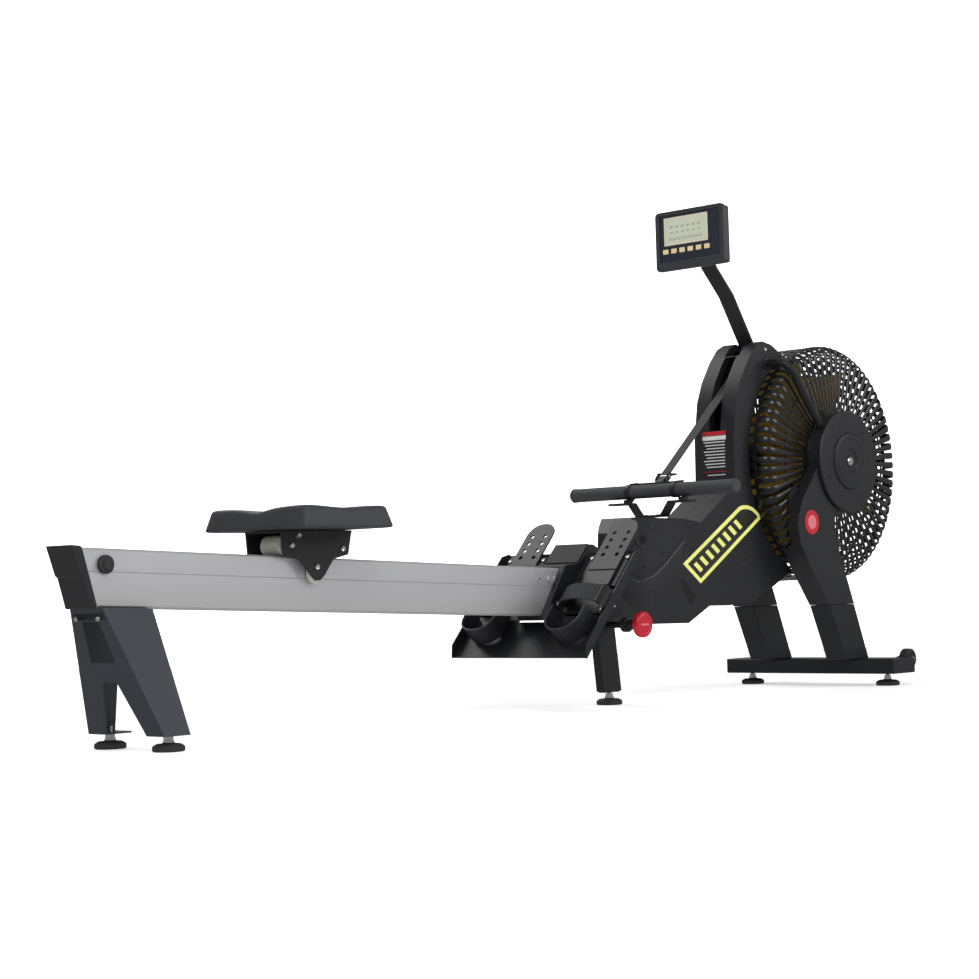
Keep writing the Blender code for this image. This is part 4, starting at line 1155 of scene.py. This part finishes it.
class ROWER_OT_strap(bpy.types.Operator):
    """Build the woven pull strap, its roller and its reel"""
    bl_idname = "rower.strap"
    bl_label = "Pull strap"

    def execute(self, context):
        a = Vector((0.442, 0.0, 0.496))
        b = Vector((0.722, 0.0, 0.737))
        part = ribbon(straight(a, b, 60), (0, 1, 0), 0.0250, 0.0022)
        obj = finish_piece(part, "strap", ("pull_webbing",), rides=False)
        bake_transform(obj)
        refined("strap_roller", "roller", 0.0012, 2)
        refined("strap_reel", "roller", 0.0012, 2)
        return {"FINISHED"}


# ---------------------------------------------------------------- console
class ROWER_OT_console(bpy.types.Operator):
    """Build the console with its rim, display, buttons and bent arm"""
    bl_idname = "rower.console"
    bl_label = "Console"

    def execute(self, context):
        refined("console_back", "console_rim", 0.0016, 2, extra=self.back_screws,
                more=("zinc",))
        self.rim()
        refined("console_screen", "screen", 0.0004, 1)
        for k in range(1, 7):
            refined("button_%d" % k, "button", 0.0012, 3)
        refined("console_arm", "dark_paint", 0.0012, 2, extra=self.arm_screws, more=("zinc",),
                angle=50.0)
        return {"FINISHED"}

    def rim(self):
        part = copied("console_bezel")
        outer = []
        for e in part.edges:
            p, q = (v.co for v in e.verts)
            if abs(p.x - q.x) > 0.005 and abs(abs(p.y) - 0.097) < 0.001 and min(abs(p.z - 1.118),
                                                                                abs(p.z - 0.980)) < 0.001:
                outer.append(e)
        chamfer(part, outer, 0.0100, 5)
        face = [e for e in part.edges if all(abs(v.co.x - 0.56775) < 1e-4 for v in e.verts)
                and is_sharp(e, 0.5) and not self.near_wells(e)]
        chamfer(part, face, 0.0026, 2)
        self.panel(part)
        finish_piece(part, "console_bezel", ("console_rim", "console_panel", "label_cream"))

    def near_wells(self, edge):
        return all(1.015 < v.co.z < 1.034 and abs(v.co.y) < 0.084 for v in edge.verts)

    def back_screws(self, part):
        for y in (-0.080, 0.080):
            for z in (0.992, 1.106):
                screw(part, (0.5978, y, z), (1, 0, 0), 0.0040, 0.0012, 1)

    def panel(self, part):
        block(part, (0.5706, -0.0858, 1.0012), (0.5716, 0.0858, 1.1088), finish=1)
        block(part, (0.5698, -0.0515, 1.0385), (0.5708, 0.0735, 1.1035), 0.0004, 1, finish=2)

    def arm_screws(self, part):
        for x, z in ((0.6240, 1.0245), (0.6340, 1.0020)):
            screw(part, (x - 0.0032, 0.0, z - 0.0012), (-0.914, 0, -0.406), 0.0045, 0.0018, 1)


# ---------------------------------------------------------------- foot deck
def on_deck(a, b, y):
    """Point on the tilted deck: a up the slope, b above it, y across."""
    c = math.cos(DECK_TILT)
    s = math.sin(DECK_TILT)
    return Vector((DECK_ORIGIN[0] + a * c - b * s, y, DECK_ORIGIN[1] + a * s + b * c))


def deck_coords(p):
    """Slope and height of a point measured on the deck."""
    c = math.cos(DECK_TILT)
    s = math.sin(DECK_TILT)
    dx = p.x - DECK_ORIGIN[0]
    dz = p.z - DECK_ORIGIN[1]
    return (dx * c + dz * s, -dx * s + dz * c)


DECK_UP = Vector((-math.sin(DECK_TILT), 0.0, math.cos(DECK_TILT)))


class ROWER_OT_footrest(bpy.types.Operator):
    """Build the deck, toe plates, heel cups, foot straps and the box between them"""
    bl_idname = "rower.footrest"
    bl_label = "Footrests"

    def execute(self, context):
        refined("foot_deck", "paint", 0.0007, 2, extra=self.deck_screws, more=("zinc",))
        for side, tag in SIDES:
            self.toe(side, tag)
            self.heel_cup(side, tag)
            self.strap(side, tag)
        refined("centre_box", "paint", 0.0028, 3, extra=self.box_screws, more=("zinc",))
        refined("centre_plate", "dark_and_recess_shade", 0.0006, 2, extra=self.outline,
                more=("label_white",))
        return {"FINISHED"}

    def heel_cup(self, side, tag):
        part = copied("heel_cup_" + tag)
        high = [v for v in part.verts if deck_coords(v.co)[1] > 0.013]
        bmesh.ops.delete(part, geom=high, context="VERTS")
        bmesh.ops.holes_fill(part, edges=[e for e in part.edges if e.is_boundary], sides=0)
        rim = []
        wall = []
        for k in range(29):
            angle = math.pi * k / 28
            y = side * (FOOT_Y - 0.0430 * math.cos(angle))
            a = 0.0760 - 0.0420 * math.sin(angle) ** 0.8
            lift = 0.0010 * math.sin(angle)
            wall.append(on_deck(a, 0.0280, y))
            rim.append(on_deck(a, 0.0490 + lift, y))
        wall = [on_deck(0.1000, 0.0280, side * 0.0700)] + wall + [on_deck(0.1000, 0.0280, side * 0.1600)]
        merge(part, ribbon(wall, DECK_UP, 0.0420, 0.0036), 0)
        # The rim bead takes the lighter housing plastic: a painted highlight along the cup's rim.
        bead = [on_deck(0.1000, 0.0490, side * 0.0715)] + rim + [on_deck(0.1000, 0.0490, side * 0.1585)]
        merge(part, swept(bead, 0.0024, 10), 1)
        finish_piece(part, "heel_cup_" + tag, ("housing", "housing_highlight"), 50.0)

    def deck_screws(self, part):
        for side, _ in SIDES:
            for a0, a1 in ((0.112, 0.176), (0.184, 0.272)):
                pad = bmesh.new()
                low = on_deck(a0, 0.0015, side * FOOT_Y)
                block(pad, (0.0, -0.0520, 0.0), (a1 - a0, 0.0520, 0.0080), 0.0015)
                place = Matrix.Translation(low) @ Matrix.Rotation(-DECK_TILT, 4, "Y")
                bmesh.ops.transform(pad, matrix=place, verts=pad.verts)
                merge(part, pad, 0)
            for a in (0.122, 0.262):
                for y in (0.0675, 0.1625):
                    screw(part, on_deck(a, 0.0093, side * y), DECK_UP, 0.0052, 0.0030, 1)

    def toe(self, side, tag):
        part = copied("toe_plate_" + tag)
        holes = []
        corners = []
        for e in part.edges:
            p, q = e.verts
            along = (q.co - p.co).normalized()
            a = deck_coords((p.co + q.co) / 2)[0]
            if abs(along.dot(DECK_UP)) < 0.75 or abs(along.y) > 0.1:
                continue
            if abs(abs(p.co.y) - FOOT_Y) < 0.034 and 0.235 < a < 0.340:
                holes.append(e)
            elif a > 0.350:
                corners.append(e)
        chamfer(part, holes, 0.0047, 5)
        chamfer(part, [e for e in corners if e.is_valid], 0.0330, 12)
        rounded(part, 0.0008, 2, 50.0)
        # The line across the plate takes the darkened plastic: painted shade in a groove.
        line = [on_deck(0.226, 0.0146, side * 0.079), on_deck(0.226, 0.0146, side * 0.151)]
        merge(part, swept(line, 0.0013, 8), 1)
        finish_piece(part, "toe_plate_" + tag, ("housing", "dark_and_recess_shade"))

    def strap(self, side, tag):
        path = []
        for k in range(25):
            angle = math.pi * k / 24
            y = 0.116 - 0.0600 * math.cos(angle)
            path.append(on_deck(0.1420, 0.0042 + 0.0400 * math.sin(angle) ** 0.65, side * y))
        part = ribbon(path, (math.cos(DECK_TILT), 0.0, math.sin(DECK_TILT)), 0.0420, 0.0024)
        buckle = bmesh.new()
        block(buckle, (-0.0240, -0.0075, -0.0020), (0.0240, 0.0075, 0.0020), 0.0010)
        turn = Matrix.Rotation(-DECK_TILT, 4, "Y")
        spot = Matrix.Translation(on_deck(0.1420, 0.0320, side * 0.1695))
        lean = Matrix.Rotation(math.radians(side * -62.0), 4, "X")
        bmesh.ops.transform(buckle, matrix=spot @ turn @ lean, verts=buckle.verts)
        merge(part, buckle, 1)
        finish_piece(part, "foot_strap_" + tag, ("webbing", "guard"))

    def box_screws(self, part):
        for side, _ in SIDES:
            for x, z in ((0.010, 0.222), (0.190, 0.215), (0.190, 0.285)):
                screw(part, (x, side * 0.0475, z), (0, side, 0), 0.0055, 0.0024, 1)

    def outline(self, part):
        sheet = bmesh.new()
        bmesh.ops.create_grid(sheet, x_segments=1, y_segments=1, size=0.5)
        bmesh.ops.scale(sheet, vec=(0.0450, 0.0780, 1.0), verts=sheet.verts)
        chamfer(sheet, sheet.verts[:], 0.0080, 5, "VERTICES")
        bmesh.ops.inset_region(sheet, faces=sheet.faces[:], thickness=0.0024, use_even_offset=True)
        inner = min(sheet.faces, key=lambda f: f.calc_center_median().length)
        bmesh.ops.delete(sheet, geom=[inner], context="FACES")
        bmesh.ops.solidify(sheet, geom=sheet.faces[:], thickness=0.0003)
        turn = Matrix.Rotation(-math.atan2(0.0390, 0.0380), 4, "Y")
        bmesh.ops.transform(sheet, matrix=Matrix.Translation((0.09570, 0.0, 0.32785)) @ turn,
                            verts=sheet.verts)
        merge(part, sheet, 1)


# ---------------------------------------------------------------- seat
def seat_height(x, y):
    """Height of the pad's top above its base: raised corners, two hollows and a relief at the rear."""
    y = abs(y)
    relief = 0.0085 * math.exp(-(y / 0.040) ** 2) * min(1.0, max(0.0, 0.45 - x / 0.150))
    side = 0.0055 * math.exp(-(x / 0.055) ** 2) * (y / 0.135) ** 2
    hollow = 0.0060 * math.exp(-((y - 0.062) / 0.034) ** 2 - ((x + 0.015) / 0.060) ** 2)
    return 0.0435 - relief - side - hollow


class ROWER_OT_seat(bpy.types.Operator):
    """Build the moulded seat pad, its carriage, rollers and guide wheels"""
    bl_idname = "rower.seat"
    bl_label = "Seat"

    def execute(self, context):
        self.pad()
        part = copied("seat_carriage", 0.0009, 2)
        for side, _ in SIDES:
            for x, z in ((-0.734, 0.346), (-0.607, 0.340), (-0.717, 0.3640), (-0.673, 0.307)):
                screw(part, (x, side * 0.0500, z), (0, side, 0), 0.0062, 0.0034, 1)
        finish_piece(part, "seat_carriage", ("dark_paint", "zinc"))
        for name in ("seat_roller_rear", "seat_roller_front", "guide_wheel_near", "guide_wheel_far"):
            refined(name, "roller", 0.0010, 2)
        return {"FINISHED"}

    def pad(self):
        part = bmesh.new()
        bmesh.ops.create_cube(part, size=2.0)
        upright = [e for e in part.edges if abs(e.verts[0].co.z - e.verts[1].co.z) > 1.0]
        flat = [e for e in part.edges if e not in upright]
        bmesh.ops.subdivide_edges(part, edges=flat, cuts=35, use_grid_fill=True)
        upright = [e for e in part.edges if abs(e.verts[0].co.z - e.verts[1].co.z) > 1.0]
        bmesh.ops.subdivide_edges(part, edges=upright, cuts=5)
        for v in part.verts:
            self.shape(v)
        bmesh.ops.smooth_vert(part, verts=part.verts, factor=0.5, use_axis_x=True, use_axis_y=True,
                              use_axis_z=True)
        bmesh.ops.translate(part, vec=(-0.669, 0.0, 0.375), verts=part.verts)
        pad = finish_piece(part, "seat_pad", ("seat",), 180.0)
        smooth = pad.modifiers.new("Smooth", "SUBSURF")
        smooth.levels = 1
        smooth.render_levels = 1

    def shape(self, v):
        """Carry one point of the block to the moulded outline."""
        u, w, t = v.co.x, v.co.y, (v.co.z + 1.0) / 2.0
        reach = max(abs(u), abs(w), 1e-6)
        power = 14.0
        length = (abs(u) ** power + abs(w) ** power) ** (1.0 / power)
        ratio = reach / max(length, 1e-6)
        x = u * ratio * (0.1172 - 0.0105 * t)
        y = w * ratio * (0.1446 - 0.0115 * t)
        edge = max(0.0, (reach - 0.92) / 0.08)
        low = 0.0010 + 0.0008 * edge
        top = seat_height(x, y) - 0.0016 * edge ** 2
        v.co = Vector((x, y, low + (top - low) * t))


# ---------------------------------------------------------------- stage
class ROWER_OT_stage(bpy.types.Operator):
    """Build the pale floor, the soft lights and the camera"""
    bl_idname = "rower.stage"
    bl_label = "Studio stage"

    def execute(self, context):
        settings = context.scene.rower_stage
        context.scene.view_settings.view_transform = "Standard"
        self.floor()
        self.backdrop()
        self.surroundings(context.scene, settings.sky)
        self.light("Key", (-2.4, -3.0, 3.4), 2.6, settings.key_power)
        self.light("Fill", (2.6, -3.2, 2.0), 2.2, settings.key_power * 0.35)
        self.light("Rim", (0.4, 2.8, 3.0), 2.4, settings.key_power * 0.55)
        self.camera(context.scene, settings.lens)
        return {"FINISHED"}

    def floor(self):
        part = bmesh.new()
        bmesh.ops.create_grid(part, x_segments=1, y_segments=1, size=12.0)
        mesh = bpy.data.meshes.new("studio_floor")
        part.to_mesh(mesh)
        part.free()
        mesh.materials.append(FINISH["floor"])
        obj = bpy.data.objects.new("studio_floor", mesh)
        obj.visible_glossy = False
        bpy.context.scene.collection.objects.link(obj)

    def backdrop(self):
        """Bright curved wall far behind the machine."""
        part = bmesh.new()
        start = Vector((4.5, -2.5, -0.01))
        verts = [part.verts.new(start), part.verts.new(start + Vector((0.0, 0.0, 6.0)))]
        edge = part.edges.new(verts)
        bmesh.ops.spin(part, geom=verts + [edge], cent=(-3.4, -2.9, 0.0), axis=(0, 0, 1),
                       angle=math.radians(90.0),
                       steps=24)
        mesh = bpy.data.meshes.new("backdrop")
        part.to_mesh(mesh)
        part.free()
        mesh.materials.append(FINISH["backdrop"])
        obj = bpy.data.objects.new("backdrop", mesh)
        obj.visible_diffuse = False
        obj.visible_glossy = False
        bpy.context.scene.collection.objects.link(obj)

    def surroundings(self, scene, strength):
        world = bpy.data.worlds.new("studio")
        world.use_nodes = True
        world.node_tree.nodes["Background"].inputs["Color"].default_value = (1.0, 1.0, 1.0, 1.0)
        world.node_tree.nodes["Background"].inputs["Strength"].default_value = strength
        scene.world = world

    def light(self, name, spot, size, power):
        lamp = bpy.data.lights.new(name, "AREA")
        lamp.shape = "DISK"
        lamp.size = size
        lamp.energy = power
        obj = bpy.data.objects.new(name, lamp)
        obj.location = spot
        aim = Vector((0.0, 0.0, 0.45)) - Vector(spot)
        obj.rotation_euler = aim.to_track_quat("-Z", "Y").to_euler()
        bpy.context.scene.collection.objects.link(obj)

    def camera(self, scene, lens):
        yaw, pitch, roll = (math.radians(v) for v in (42.199, 2.599, -1.664))
        f = Vector((math.cos(yaw) * math.cos(pitch), math.sin(yaw) * math.cos(pitch), math.sin(pitch)))
        r = Vector((math.sin(yaw), -math.cos(yaw), 0.0))
        u = r.cross(f)
        r2 = r * math.cos(roll) + u * math.sin(roll)
        u2 = u * math.cos(roll) - r * math.sin(roll)
        data = bpy.data.cameras.new("Camera")
        data.lens = lens
        data.sensor_width = 36.0
        data.sensor_fit = "HORIZONTAL"
        data.clip_end = 60.0
        obj = bpy.data.objects.new("Camera", data)
        turn = Matrix((r2, u2, -f)).transposed().to_4x4()
        obj.matrix_world = Matrix.Translation((-3.37095, -2.9096, 0.2631)) @ turn
        scene.collection.objects.link(obj)
        scene.camera = obj


PIECES = (ROWER_OT_rail, ROWER_OT_rear_leg, ROWER_OT_feet, ROWER_OT_mid_leg, ROWER_OT_knob,
          ROWER_OT_stabiliser,
          ROWER_OT_housing, ROWER_OT_arms, ROWER_OT_guard, ROWER_OT_fan, ROWER_OT_handle, ROWER_OT_strap,
          ROWER_OT_console, ROWER_OT_footrest, ROWER_OT_seat, ROWER_OT_stage)


class ROWER_PT_pieces(bpy.types.Panel):
    """Lists the rowing machine's pieces"""
    bl_idname = "ROWER_PT_pieces"
    bl_label = "Rowing machine"
    bl_space_type = "VIEW_3D"
    bl_region_type = "UI"
    bl_category = "Rower"

    def draw(self, context):
        layout = self.layout
        for piece in PIECES:
            layout.operator(piece.bl_idname, text=piece.bl_label)
        for group in (context.scene.rower_look, context.scene.rower_guard, context.scene.rower_stage):
            for key in group.__annotations__:
                layout.prop(group, key)


CLASSES = (RowerLook, RowerGuard, RowerStage, *PIECES, ROWER_PT_pieces)


def register():
    for cls in CLASSES:
        bpy.utils.register_class(cls)
    bpy.types.Scene.rower_look = PointerProperty(type=RowerLook)
    bpy.types.Scene.rower_guard = PointerProperty(type=RowerGuard)
    bpy.types.Scene.rower_stage = PointerProperty(type=RowerStage)


def unregister():
    del bpy.types.Scene.rower_stage
    del bpy.types.Scene.rower_guard
    del bpy.types.Scene.rower_look
    for cls in reversed(CLASSES):
        bpy.utils.unregister_class(cls)


def main():
    register()
    make_finishes(bpy.context.scene.rower_look)
    for piece in PIECES:
        group, name = piece.bl_idname.split(".")
        if getattr(getattr(bpy.ops, group), name)() != {"FINISHED"}:
            raise RuntimeError(piece.bl_label + " was not built")


if __name__ == "__main__":
    main()
